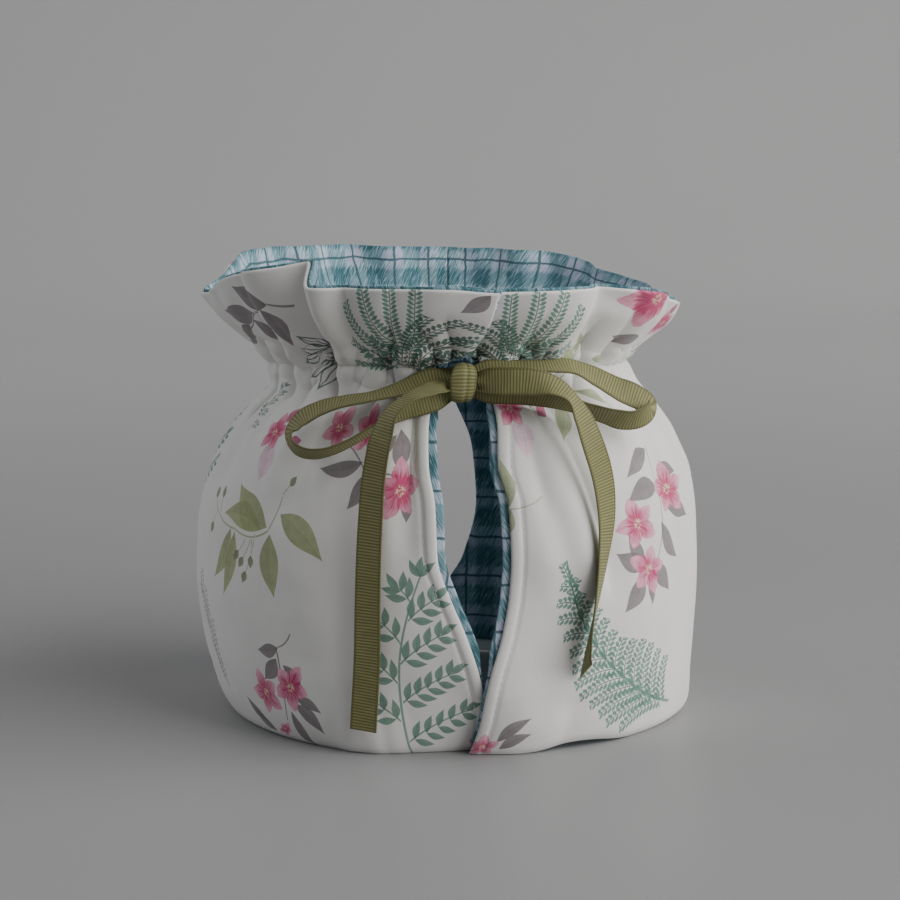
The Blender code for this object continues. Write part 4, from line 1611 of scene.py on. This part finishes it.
@dataclass(frozen=True)
class CheckCotton:
    """Pale blue cotton with brushed teal bands that cross in a check, and a thin line in each gap."""

    white: Colour = (0.55, 0.66, 0.76)
    lilac: Colour = (0.50, 0.53, 0.68)
    teal: Colour = (0.10, 0.265, 0.30)
    deep: Colour = (0.03, 0.115, 0.145)
    line: Colour = (0.03, 0.10, 0.13)
    repeat: float = 16.69  # seventeen and a half of them from the front to the back seam
    line_width: float = 1.0
    rim_line: float = 5.4  # how far below the rim the first level line lies
    stroke_length: float = 7.0
    stroke_width: float = 0.42
    weave: WovenGround = WovenGround()

    def line_at(self, at: Value) -> Value:
        """A thin line at each repeat."""
        away = abs((at / self.repeat + 0.5).part() - 0.5) * self.repeat
        return away.smooth(self.line_width / 2 + 0.15, self.line_width / 2 - 0.15)

    def band(self, at: Value) -> Value:
        """1 midway between two lines and 0 at them, as a sine's square with steeper flanks."""
        return ((at * (math.pi / self.repeat)).sine() ** 2.0).smooth(0.18, 0.78)

    def brushed(self, recipe: Recipe, along: Value, up: Value, heading: float) -> Value:
        """Long thin streaks of noise that run in one slanting direction."""
        ahead, aside = math.cos(math.radians(heading)), math.sin(math.radians(heading))
        run = (along * ahead + up * aside) / self.stroke_length
        across = (up * ahead - along * aside) / self.stroke_width
        return recipe.noise(recipe.join(run, across))

    def material(self) -> bpy.types.Material:
        """Two layers of strokes, one in each direction's bands, which are darkest where they cross.

        Returns:
            The material.
        """
        recipe = Recipe("check cotton")
        along, up = recipe.flat_cloth()
        cloth = recipe.join(along, up)
        wobble = recipe.noise(cloth, 0.12) - 0.5
        across, level = along + wobble * 2.0, up - (FLAT_RIM - self.rim_line) + wobble * 2.0
        colour = recipe.mix(recipe.noise(cloth, 0.11, 1.0).smooth(0.42, 0.62), self.white, self.lilac)
        layers = []
        for at, heading, sparse, strength in ((across, 112.0, 0.585, 0.18), (level, 124.0, 0.60, 0.22)):
            strokes = self.brushed(recipe, along, up, heading) - sparse + self.band(at) * strength
            layers.append(strokes.smooth(-0.05, 0.09))
            colour = recipe.mix(layers[-1] * 0.80, colour, self.teal)
        colour = recipe.mix(layers[0] * layers[1] * 0.85, colour, self.deep)
        line = self.line_at(across).most(self.line_at(level))
        colour = recipe.mix(line * 0.85, colour, self.line)
        return recipe.finish(colour, 0.88 + wobble * 0.08, self.weave.sockets(recipe, along, up))


@dataclass(frozen=True)
class RibbedRibbon:
    """Olive ribbed ribbon. Its ribs are in the mesh; the finish paints shade into the grooves between them
    and darkens the edges.
    """

    olive: Colour = (0.268, 0.26, 0.115)
    # painted shade: the darker colour of the grooves between the ribs
    groove: Colour = (0.145, 0.14, 0.052)
    selvedge: Colour = (0.115, 0.11, 0.04)
    selvedge_width: float = 0.9
    thread: float = 0.32  # millimetres from thread to thread across it

    def material(self, width: float, rib: float) -> bpy.types.Material:
        """Light ribs, grooves between them darkened with painted shade, and a dark edge with a fine light
        dot at each rib.

        Args:
            width: the ribbon's.
            rib: millimetres from rib to rib.

        Returns:
            The material.
        """
        recipe = Recipe("ribbed ribbon")
        aside, along = recipe.flat_cloth()
        beat = abs((along / rib).part() - 0.5) * 2
        # painted sheen: broad noise that makes the colour lighter and darker along the ribbon, and also
        # varies the roughness
        sheen = recipe.noise(recipe.join(aside * 0.15, along * 0.4))
        # painted shade: the grooves between the mesh's ribs get the darker groove colour
        colour = recipe.mix(beat.smooth(0.75, 0.25), self.groove, self.olive)
        colour = recipe.scaled(colour, 0.82 + sheen * 0.36)
        inside = width / 2 - abs(aside)
        edge = inside.smooth(self.selvedge_width + 0.12, self.selvedge_width - 0.12)
        colour = recipe.mix(edge * 0.85, colour, self.selvedge)
        dots = abs(inside - self.selvedge_width * 0.55).smooth(0.22, 0.08) * beat.smooth(0.5, 0.2)
        colour = recipe.mix(dots * 0.6, colour, self.olive)
        threads = recipe.raised((aside * (math.tau / self.thread)).sine(), 0.00004, 0.5)
        sockets = {"Normal": threads, "Sheen Weight": 0.05, "Specular IOR Level": 0.3}
        return recipe.finish(colour, 0.55 + sheen * 0.14, sockets)


@dataclass(frozen=True)
class SewingThread:
    """Matt white thread, with painted light and shade along its twist."""

    # painted light and shade: the two colours of the twist's stripes
    light: Colour = (0.76, 0.75, 0.72)
    dark: Colour = (0.58, 0.56, 0.53)
    twist: float = 0.0006  # metres from turn to turn

    def material(self) -> bpy.types.Material:
        """Thread with a fine slanting twist, drawn as painted light and shade.

        Returns:
            The material.
        """
        recipe = Recipe("sewing thread")
        x, y, z = recipe.split(recipe.place())
        twist = ((x + y + z * 1.4) * (math.tau / self.twist)).sine()
        # painted light and shade: light and dark stripes that follow the twist
        colour = recipe.mix(twist.smooth(-1.0, 1.0), self.dark, self.light)
        return recipe.finish(colour, 0.8, {"Specular IOR Level": 0.3})


@dataclass(frozen=True)
class PaleFloor:
    """A plain, pale, softly gleaming floor, with painted light that makes it lighter up the backdrop."""

    # painted light: the darker colour of the floor near the camera, and the lighter one far back and up the
    # backdrop
    near: Colour = (0.305, 0.305, 0.308)
    far: Colour = (0.66, 0.65, 0.645)

    def material(self) -> bpy.types.Material:
        """A grey that is nearly even apart from painted light, which makes it lighter from the near floor to
        the far backdrop, and a very broad cloudiness.

        Returns:
            The material.
        """
        recipe = Recipe("pale floor")
        cloud = recipe.noise(recipe.place(), 1.4)
        _, ahead, _ = recipe.split(recipe.place())
        # painted light: lighter further back along Y
        colour = recipe.mix(ahead.smooth(0.2, 1.6), self.near, self.far)
        return recipe.finish(recipe.scaled(colour, 0.97 + cloud * 0.06), 0.42 + cloud * 0.08, {})


# --- The cloth panels ---


class Side(Enum):
    """A panel's side, as its sign along X."""

    LEFT = -1
    RIGHT = 1


@dataclass
class Panel:
    """What the cover panels and the linings share: a grid from the front edge to the back seam."""

    side: Side
    columns: int = 280
    rows: int = 160
    edge_close: tuple[float, ...] = (0.12, 0.35, 0.7, 1.2)
    edge_radius: float = 1.0
    thinnest: float = 0.12  # share of full thickness at the very edge
    front_crowding: float = 0.30
    hem_turn: float = 4.0  # up to this level the normals are turned level

    def grid(self, foot: float, past_edge: Callable[[Array], Array] | None) -> tuple[Array, Array, Array]:
        """Angles and levels of the grid, and the share of full thickness at each point.

        The rows are evenly spaced up the flat cloth and the columns along it, closer to each other
        towards the front, and closest along the edges, where the cloth is rounded off.

        Args:
            foot: the lowest level.
            past_edge: how far the front edge reaches past the cover's, at a level, or None.

        Returns:
            Angles, levels and shares, with angles rising from column to column.
        """
        sign = self.side.value
        bottom = float(flat_height(foot))
        up = with_edges(self.rows, FLAT_RIM - bottom, self.edge_close)
        level = np.interp(up + bottom, FLAT_HEIGHTS, FLAT_LEVELS)
        edge, _ = FORM.front_edge(level, sign)
        if past_edge is not None:
            edge = edge - sign * np.degrees(past_edge(level) / FORM.body_radius(edge, level))
        back = sign * (180 - along_curve(SPOUT, "level", "half_angle", level))
        width = np.abs(back - edge) * PER_DEGREE
        share = with_edges(self.columns, 1.0, [c / width.mean() for c in self.edge_close])
        share = share + self.front_crowding * (share**2 - share) * step(0, 0.02, share * (1 - share))
        angle = edge[:, None] + (back - edge)[:, None] * share
        aside = np.minimum(share, 1 - share) * width[:, None]
        from_edge = np.minimum(aside, np.minimum(up, up[-1] - up)[:, None])
        if sign < 0:
            angle, from_edge = angle[:, ::-1], from_edge[:, ::-1]
        thick = rounded(from_edge, self.edge_radius, self.thinnest)
        return angle, np.broadcast_to(level[:, None], angle.shape), thick

    def face(self, angle: Array, level: Array) -> tuple[Array, Array]:
        """Points of the cloth's face, and normals that turn level at the hem, to end flat on the ground.

        Args:
            angle: angles of the places.
            level: their levels.

        Returns:
            The points and their unit normals.
        """
        place = FORM.place(angle, level, self.side.value)
        normal = grid_normals(place)
        normal[..., 2] *= step(0, self.hem_turn, level)
        return place, unit(normal)


@dataclass
class CoverPanel(Panel):
    """A printed cover panel, with its thin wadding, a topstitched front edge and a turned hem."""

    cloth: float = 1.5
    stitch_line: float = 4.4  # millimetres from the front edge
    stitch_half_width: float = 0.65
    stitch_depth: float = 0.55
    stitch_proud: float = 0.12  # how far the thread stands out of the groove
    roll_height: float = 0.35
    roll_half_width: float = 1.5
    stitch_top: float = 118.0
    stitch_fade: tuple[float, float] = (112.0, 122.0)

    def relief(self, angle: Array, level: Array) -> Array:
        """The topstitched edge: a groove along the stitch line, and a soft roll outside it.

        Args:
            angle: angles of the places.
            level: their levels.

        Returns:
            Millimetres outward.
        """
        sign = self.side.value
        edge, _ = FORM.front_edge(level, sign)
        inside = (angle - edge) * sign * np.radians(1) * FORM.body_radius(angle, level)
        groove = self.stitch_depth * bump(self.stitch_line, self.stitch_half_width, inside)
        roll = self.roll_height * bump(self.stitch_line / 2, self.roll_half_width, inside)
        return (roll - groove) * (1 - step(*self.stitch_fade, level))

    def build(self, name: str, printed: FloralPrint) -> bpy.types.Object:
        """The panel with its print.

        Args:
            name: the piece's name.
            printed: the print.

        Returns:
            The new object.
        """
        angle, level, thick = self.grid(0.0, None)
        place, normal = self.face(angle, level)
        outer = self.cloth * (0.5 + 0.5 * thick) + self.relief(angle, level) * thick
        inner = self.cloth * (0.5 - 0.5 * thick)
        flat = on_flat(angle, level)
        made = shell(name, place + normal * outer[..., None], place + normal * inner[..., None], flat)
        printed.paint(made, flat)
        return made

    def stitch_path(self, gap: float) -> Array:
        """Points along the topstitching, four to a stitch, on the cover's face.

        Args:
            gap: millimetres from stitch to stitch.

        Returns:
            Points in millimetres about the cosy's axis.
        """
        sign = self.side.value
        level = np.arange(2.0, self.stitch_top, gap / 4)
        edge, _ = FORM.front_edge(level, sign)
        angle = edge + sign * np.degrees(self.stitch_line / FORM.body_radius(edge, level))
        beside = np.array([-0.3, 0.0, 0.3])
        place, normal = self.face(angle[:, None] + beside, level[:, None])
        return place[:, 1] + normal[:, 1] * (self.cloth - self.stitch_depth + self.stitch_proud)


@dataclass
class LiningPanel(Panel):
    """A check lining. Its edge peeps out along the rim and stands out along the handle slit."""

    rows: int = 140
    cloth: float = 1.1
    gap: float = 0.35
    foot: float = 4.0
    edge_shown: float = 0.8
    slit_shown: float = 2.8
    slit_foot: tuple[float, float] = (30.0, 42.0)
    slit_top: tuple[float, float] = (118.0, 126.0)
    rim_shown: float = 0.35
    rim_reach: float = 2.5

    def past_edge(self, level: Array) -> Array:
        """How far the lining's front edge reaches past the cover's."""
        shown = step(*self.slit_foot, level) * (1 - step(*self.slit_top, level))
        return self.edge_shown + (self.slit_shown - self.edge_shown) * shown

    def build(self, name: str) -> bpy.types.Object:
        """The lining, inside the cover.

        Args:
            name: the piece's name.

        Returns:
            The new object.
        """
        angle, level, thick = self.grid(self.foot, self.past_edge)
        place, normal = self.face(angle, level)
        up = unit(np.gradient(place, axis=0))
        place = place + up * (self.rim_shown * step(RIM - self.rim_reach, RIM, level))[..., None]
        middle, half = -self.gap - self.cloth / 2, self.cloth / 2 * thick
        outer = place + normal * (middle + half)[..., None]
        inner = place + normal * (middle - half)[..., None]
        return shell(name, outer, inner, on_flat(angle, level))


# --- The ribbon ---


class Turn(NamedTuple):
    """A point on the ribbon's centre line, and the turn of its face away from facing out."""

    angle: float
    radius: float
    height: float
    tilt: float

    def place(self) -> Array:
        """The point in millimetres about the cosy's axis."""
        around = math.radians(self.angle)
        return np.array([self.radius * math.sin(around), -self.radius * math.cos(around), self.height])


LEFT_LOOP = table(
    Turn,
    (2.0, 71.0, 133.4, 15), (-5.0, 73.6, 132.8, 34), (-12.0, 77.2, 130.4, 62), (-20.0, 81.5, 127.5, 73),
    (-27.0, 83.5, 125.4, 66), (-32.5, 86.5, 122.4, 50), (-36.0, 90.0, 118.2, 36),
    (-36.8, 92.8, 114.0, 33), (-35.0, 94.5, 110.4, 41), (-31.0, 95.2, 108.4, 57),
    (-26.3, 94.2, 109.3, 72), (-21.5, 91.5, 112.8, 79), (-16.5, 88.0, 117.8, 78),
    (-10.5, 83.4, 123.0, 56), (-4.0, 79.0, 127.0, 20), (2.5, 75.0, 130.0, 8),
)
RIGHT_LOOP = table(
    Turn,
    (5.5, 71.5, 133.5, -20), (13.0, 73.0, 136.2, -44), (20.0, 75.4, 137.4, -68), (27.0, 79.0, 137.8, -72),
    (33.0, 81.5, 137.4, -60), (38.0, 84.5, 134.0, -40), (42.8, 89.6, 129.2, -24),
    (46.8, 94.2, 125.4, -14), (48.6, 96.8, 122.0, -14), (45.8, 97.5, 119.6, -24),
    (41.8, 96.0, 118.6, -42), (38.0, 93.0, 120.2, -58), (33.5, 88.0, 122.9, -66),
    (28.0, 85.4, 125.8, -56), (20.0, 81.8, 128.6, -36), (12.5, 78.2, 129.6, -22), (5.0, 74.5, 130.6, -15),
)
LEFT_TAIL = table(
    Turn,
    (1.0, 75.0, 132.5, 52), (-4.5, 84.0, 131.0, 70), (-8.8, 90.5, 128.6, 72), (-11.9, 94.5, 124.0, 54),
    (-13.4, 96.6, 117.0, 32), (-14.8, 97.8, 105.0, 22), (-15.8, 98.4, 84.0, 14), (-16.4, 98.2, 59.0, 9),
    (-16.8, 97.2, 37.0, 3), (-18.2, 94.8, 10.5, 0),
)
RIGHT_TAIL = table(
    Turn,
    (6.0, 76.0, 132.8, -5), (13.5, 83.0, 133.6, -8), (19.5, 88.0, 133.6, -18), (23.8, 92.5, 132.4, -44),
    (26.6, 96.0, 129.2, -50), (28.6, 98.2, 122.5, -28), (30.6, 99.3, 113.5, -12), (33.2, 99.8, 100.0, -8),
    (34.3, 99.8, 85.0, -18), (33.4, 100.0, 71.0, -34), (31.8, 100.6, 57.0, -48), (30.2, 100.8, 43.5, -60),
    (29.2, 100.6, 31.5, -76),
)
LEFT_END = table(
    Turn,
    (-2.4, 67.0, 131.8, 0), (0.5, 69.5, 132.2, 0), (4.0, 71.5, 132.5, 0),
)
RIGHT_END = table(
    Turn,
    (10.8, 67.0, 131.8, 0), (8.0, 69.5, 132.2, 0), (4.0, 71.5, 132.5, 0),
)


def through(stops: Array, values: Array, at: Array) -> Array:
    """The cubic through some values whose slope at each is that between its two neighbours.

    Args:
        stops: where the values stand, rising.
        values: one row for each stop.
        at: places to read.

    Returns:
        One row for each place.
    """
    slopes = np.gradient(values, stops, axis=0)
    i = np.clip(np.searchsorted(stops, at, side="right") - 1, 0, len(stops) - 2)
    span = (stops[i + 1] - stops[i])[:, None]
    t = ((at - stops[i])[:, None]) / span
    first = values[i] * (1 + 2 * t) * (1 - t) ** 2 + slopes[i] * span * t * (1 - t) ** 2
    return first + values[i + 1] * t * t * (3 - 2 * t) + slopes[i + 1] * span * t * t * (t - 1)


@dataclass
class Ribbon:
    """A ribbed ribbon, and the way that a length of it is carried along a route."""

    width: float = 10.0
    cloth: float = 0.6
    rib: float = 1.1
    rib_height: float = 0.13
    samples: int = 4  # to a rib
    across: tuple[float, ...] = (-1, -0.985, -0.95, -0.88, -0.66, -0.33, 0, 0.33, 0.66, 0.88, 0.95, 0.985, 1)
    edge_radius: float = 0.05  # as a share of half the width, as is the next
    rib_end: float = 0.09
    thinnest: float = 0.2  # share of full thickness at the very edge
    drawn_in: float = 0.42  # how much narrower a pinched end is
    flute: float = 1.3  # and how deep its folds are
    cut: float = 6.0  # how far from its end a slanting cut begins
    tightest: float = 0.86  # how near to a turn's centre the inner edge may come

    def band(
        self,
        name: str,
        turns: Sequence[Turn],
        slant: float = 0.0,
        pinched: tuple[float, float] = (0.0, 0.0),
        cup: float = 0.0,
    ) -> tuple[bpy.types.Object, float]:
        """A length of ribbon along its centre line.

        The face is the outward direction turned by the tilt, and the width runs square to it and to the
        route. Ribs rise as half of a cosine wave along the route. Near a pinched end the ribbon narrows
        and folds into a trough. In a turn tighter than the ribbon, its inner edge stops short of the
        turn's centre.

        Args:
            name: the piece's name.
            turns: the centre line and tilts.
            slant: how far the cut end slopes across the ribbon.
            pinched: millimetres over which each end is drawn together.
            cup: how deep the ribbon is hollowed across, in millimetres.

        Returns:
            The new object and the ribbon's length in millimetres.
        """
        rough = np.array([turn.place() for turn in turns])
        stops = running(lengths(rough))
        at = np.linspace(0, stops[-1], int(stops[-1] / self.rib * self.samples) + 1)
        centre = through(stops, rough, at)
        tilt = np.radians(through(stops, column(turns, "tilt")[:, None], at))
        run = running(lengths(centre))
        along = unit(np.gradient(centre, axis=0))
        out = square_to(along, centre)
        sideways = np.cross(along, out)
        face = (out * np.cos(tilt) + sideways * np.sin(tilt))[:, None]
        wide = sideways * np.cos(tilt) - out * np.sin(tilt)

        drawn = np.zeros((len(run), 1))
        for span, away in zip(pinched, (run, run[-1] - run)):
            if span:
                drawn = np.maximum(drawn, 1 - step(0, span, away)[:, None])
        across = np.array(self.across)
        aside = across * (self.width / 2 * (1 - self.drawn_in * drawn))
        bending = (np.gradient(along, run, axis=0) * wide).sum(1)[:, None]
        room = self.tightest / np.maximum(np.abs(bending), 1e-6)
        aside = np.where(np.sign(bending) * aside > 0, np.clip(aside, -room, room), aside)
        cut = slant * step(run[-1] - self.cut, run[-1], run)[:, None] * -across
        fold = drawn * self.flute * np.cos(across * 1.5 * np.pi) - cup * (1 - across**2)
        spine = centre[:, None] + wide[:, None] * aside[..., None] + along[:, None] * cut[..., None]
        spine = spine + face * fold[..., None]

        inside = 1 - np.abs(across)
        ribs = self.rib_height * (0.5 - 0.5 * np.cos(math.tau * run / self.rib))[:, None]
        ribs = ribs * np.clip(inside / self.rib_end, 0, 1)
        lift = self.cloth / 2 * rounded(inside, self.edge_radius, self.thinnest) + ribs
        lift = face * lift[..., None]
        flat = across * self.width / 2 + 1j * run[:, None]
        return shell(name, spine + lift, spine - lift, flat), run[-1]


@dataclass
class Knot:
    """The knot's outer turn: a flattened ring of ribbon round the crossing, creased lengthwise."""

    crossing: Turn = Turn(4.0, 75.0, 132.5, 0)
    deep: float = 11.0
    high: float = 11.5
    width: float = 9.0
    squareness: float = 0.62  # under 1 squares the ring's section
    drawn_in: float = 0.20  # how much narrower the band is at the ring's top and bottom
    uneven: float = 0.05
    crown: float = 1.0
    crease: tuple[float, float] = (0.25, 0.16)  # middle and half width, as shares of half the band
    crease_depth: float = 0.30
    lean: float = 0.16
    edge_radius: float = 0.06  # as a share of half the band's width

    def build(self, name: str, ribbon: Ribbon) -> tuple[bpy.types.Object, float]:
        """The ring, as a closed band of ribbon.

        Its section is a superellipse in the plane through the axis. The band bulges in the middle, is
        drawn in at the back, and has one soft crease that runs round it.

        Args:
            name: the piece's name.
            ribbon: the ribbon that it is made of.

        Returns:
            The new object and the ribbon's length in millimetres.
        """
        turn = np.linspace(math.pi, 3 * math.pi, 241)
        ahead, rise = (
            np.sign(wave) * np.abs(wave) ** self.squareness * size / 2
            for wave, size in ((np.cos(turn), self.deep), (np.sin(turn), self.high))
        )
        across = np.linspace(-1, 1, 33)
        half = self.width / 2 * (1 - self.drawn_in + self.drawn_in * np.cos(turn))
        half = half * (1 + self.uneven * np.sin(3 * turn + 0.7))
        swell = self.crown * (1 - across**2) - self.crease_depth * bump(*self.crease, across)
        grow = 1 + swell / (max(self.deep, self.high) / 2)
        centre, up = self.crossing.place(), np.array((0, 0, 1.0))
        out = np.array(Vector((centre[0], centre[1], 0)).normalized())
        aside = across * half[:, None] + (self.lean * np.sin(turn) * half)[:, None]
        spine = centre + out * (ahead[:, None] * grow)[..., None] + up * (rise[:, None] * grow)[..., None]
        spine = spine + np.cross(up, out) * aside[..., None]
        thick = rounded(1 - np.abs(across), self.edge_radius, ribbon.thinnest)[:, None]
        lift = grid_normals(spine) * ribbon.cloth / 2 * thick
        run = running(np.hypot(np.diff(ahead), np.diff(rise)))
        flat = across * ribbon.width / 2 + 1j * run[:, None]
        outer, inner = (spine - lift)[:, ::-1], (spine + lift)[:, ::-1]
        return shell(name, outer, inner, flat[:, ::-1]), float(run[-1])


@dataclass
class Bow:
    """The ribbon's bow over the handle slit: two loops, two tails, the knot and the two drawn ends."""

    ribbon: Ribbon = field(default_factory=Ribbon)
    knot: Knot = field(default_factory=Knot)

    def build(self) -> list[tuple[bpy.types.Object, float]]:
        """All lengths of the ribbon.

        Returns:
            Each one's object and its flat length in millimetres.
        """
        band = self.ribbon.band
        return [
            band("ribbon_left_loop", LEFT_LOOP, pinched=(9, 9), cup=0.25),
            band("ribbon_right_loop", RIGHT_LOOP, pinched=(9, 9), cup=0.25),
            band("ribbon_left_tail", LEFT_TAIL, pinched=(9, 0), cup=0.15),
            band("ribbon_right_tail", RIGHT_TAIL, slant=3.5, pinched=(9, 0), cup=0.15),
            band("ribbon_left_end", LEFT_END, pinched=(0, 3)),
            band("ribbon_right_end", RIGHT_END, pinched=(0, 3)),
            self.knot.build("ribbon_knot", self.ribbon),
        ]


@dataclass
class Topstitching:
    """A row of short raised stitches beside a panel's front edge."""

    gap: float = 2.7
    long: float = 2.1
    thick: float = 0.36
    sides: int = 6
    rings: int = 6

    def build(self, name: str, panel: CoverPanel) -> bpy.types.Object:
        """All stitches of one panel as a joined mesh.

        Each stitch is a spindle: rings round a straight line, as wide as the sine of the way along it.

        Args:
            name: the piece's name.
            panel: the cover panel that they are on.

        Returns:
            The new object.
        """
        path = panel.stitch_path(self.gap)
        run = running(lengths(path))
        starts = np.arange(0.4, run[-1] - self.long, self.gap)
        first, last = (
            np.stack([np.interp(ends, run, path[:, k]) for k in range(3)], -1)
            for ends in (starts, starts + self.long)
        )
        along = unit(last - first)
        out = square_to(along, first)
        aside = np.cross(along, out)
        share = np.linspace(0.04, 0.96, self.rings)
        thick = self.thick / 2 * np.sin(np.pi * share) ** 0.5
        around = (np.arange(self.sides) * math.tau / self.sides)[:, None]
        ring = out[:, None] * np.cos(around) + aside[:, None] * np.sin(around)
        middle = first[:, None] + (last - first)[:, None] * share[:, None]
        points = middle[:, :, None] + ring[:, None] * thick[:, None, None]
        return mesh_object(name, (points + AXIS) * MM, self.spindle_faces(len(starts)))

    def spindle_faces(self, count: int) -> Array:
        """Four-sided faces of all spindles, with the caps split from the end rings.

        Args:
            count: how many spindles.

        Returns:
            One row of four point numbers for each face.
        """
        ring = np.arange(self.rings * self.sides).reshape(self.rings, self.sides)
        low, high = ring[:-1], ring[1:]
        tube = np.stack([low, high, np.roll(high, -1, axis=1), np.roll(low, -1, axis=1)], -1)
        caps = [ring[0, [0, 1, 2, 3]], ring[0, [0, 3, 4, 5]], ring[-1, [3, 2, 1, 0]], ring[-1, [5, 4, 3, 0]]]
        one = np.concatenate([tube.reshape(-1, 4), caps])
        shift = np.arange(count) * ring.size
        return (one[None] + shift[:, None, None]).reshape(-1, 4)


# --- The studio ---


@dataclass
class Studio:
    """Camera, soft light and a pale floor that curves up into a backdrop."""

    distance: float = 1.010
    eye: float = 0.252
    aim: float = 0.097
    lens: float = 107.1
    shift: float = 0.0033
    floor_half: float = 4.0
    sweep_from: float = 1.3
    sweep_radius: float = 1.2
    lit: float = 0.08  # how high the lights aim

    @staticmethod
    def turned(made: bpy.types.Object, at: Vector, towards: Vector) -> None:
        """Stands a camera or a light somewhere, facing a place."""
        made.location = at
        made.rotation_euler = (towards - at).to_track_quat("-Z", "Y").to_euler()

    def add_camera(self) -> None:
        """The camera in front of the slit, a little above the cosy, looking down at its middle."""
        lens = bpy.data.cameras.new("camera")
        lens.lens, lens.sensor_width, lens.shift_x = self.lens, 36.0, self.shift
        camera, axis = link("camera", lens), Vector(AXIS * MM)
        self.turned(camera, axis + Vector((0, -self.distance, self.eye)), axis + Vector((0, 0, self.aim)))
        bpy.context.scene.camera = camera

    def add_floor(self) -> None:
        """A floor that ends in a quarter circle and a wall behind the cosy."""
        turn = np.linspace(0, np.pi / 2, 24)
        back, half = self.sweep_from + self.sweep_radius, self.floor_half
        ahead = np.concatenate([[-half], self.sweep_from + self.sweep_radius * np.sin(turn), [back]])
        rise = np.concatenate([[0], self.sweep_radius * (1 - np.cos(turn)), [half]])
        aside = np.linspace(-half, half, 9)
        points = np.stack(np.broadcast_arrays(aside, ahead[:, None], rise[:, None]), -1)
        floor = mesh_object("studio_floor", points, grid_faces(len(ahead), len(aside))[1])
        floor.data.materials.append(PaleFloor().material())

    def add_light(self, name: str, at: Colour, size: float, power: float, colour: Colour) -> None:
        """A square soft light that faces the cosy."""
        light = bpy.data.lights.new(name, "AREA")
        light.size, light.energy, light.color = size, power, colour
        self.turned(link(name, light), Vector(at), Vector((0, 0, self.lit)))

    def add_world(self) -> None:
        """A dim, even, slightly cool sky."""
        world = bpy.data.worlds.new("studio air")
        world.use_nodes = True
        sky = world.node_tree.nodes["Background"]
        sky.inputs["Color"].default_value = (0.92, 0.95, 1.0, 1.0)
        sky.inputs["Strength"].default_value = 0.18
        bpy.context.scene.world = world

    def build(self) -> None:
        """Everything round the cosy."""
        self.add_camera()
        self.add_floor()
        self.add_light("window light", (1.40, -0.52, 0.94), 2.2, 55.0, (1.0, 0.99, 0.97))
        self.add_light("side fill", (-1.3, 0.30, 0.75), 1.2, 7.0, (0.97, 0.98, 1.0))
        self.add_world()


# --- Putting it together ---


class Finish(Enum):
    """The record's material slots."""

    PRINTED_COTTON = "printed_cotton"
    CHECK_LINING = "check_lining"
    RIBBED_RIBBON = "ribbed_ribbon"


def dress(made: bpy.types.Object, material: bpy.types.Material, finish: Finish, *nodes: str) -> None:
    """Gives a piece its material and body, and hides the CAD nodes that it stands for.

    Args:
        made: the piece.
        material: its material.
        finish: its slot; not used.
        *nodes: the CAD nodes that it stands for, or none.
    """
    made.data.materials.append(material)
    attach(made, "root")
    if nodes:
        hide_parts(*nodes)
    LOG.info("%s: %d faces", made.name, len(made.data.polygons))


def build_panels() -> None:
    """Covers, linings and topstitching, on both sides."""
    cotton, check, thread = PrintedCotton().material(), CheckCotton().material(), SewingThread().material()
    printed = FloralPrint()
    for side in Side:
        tag = side.name.lower()
        panel = CoverPanel(side)
        cover = panel.build(f"printed_cover_{tag}", printed)
        dress(cover, cotton, Finish.PRINTED_COTTON, f"cover_{tag}")
        lining = LiningPanel(side).build(f"check_lining_{tag}")
        dress(lining, check, Finish.CHECK_LINING, f"lining_{tag}")
        stitches = Topstitching().build(f"topstitching_{tag}", panel)
        dress(stitches, thread, Finish.PRINTED_COTTON)


def build_bow() -> None:
    """The bow's lengths of ribbon."""
    bow = Bow()
    width, shortest = bow.ribbon.width, 10.0
    material = RibbedRibbon().material(width, bow.ribbon.rib)
    for made, length in bow.build():
        dress(made, material, Finish.RIBBED_RIBBON, "ribbon_bow")


def main() -> None:
    """Builds the studio and the cosy."""
    logging.basicConfig(level=logging.INFO, format="%(message)s")
    Studio().build()
    build_panels()
    build_bow()


if __name__ == "__main__":
    main()
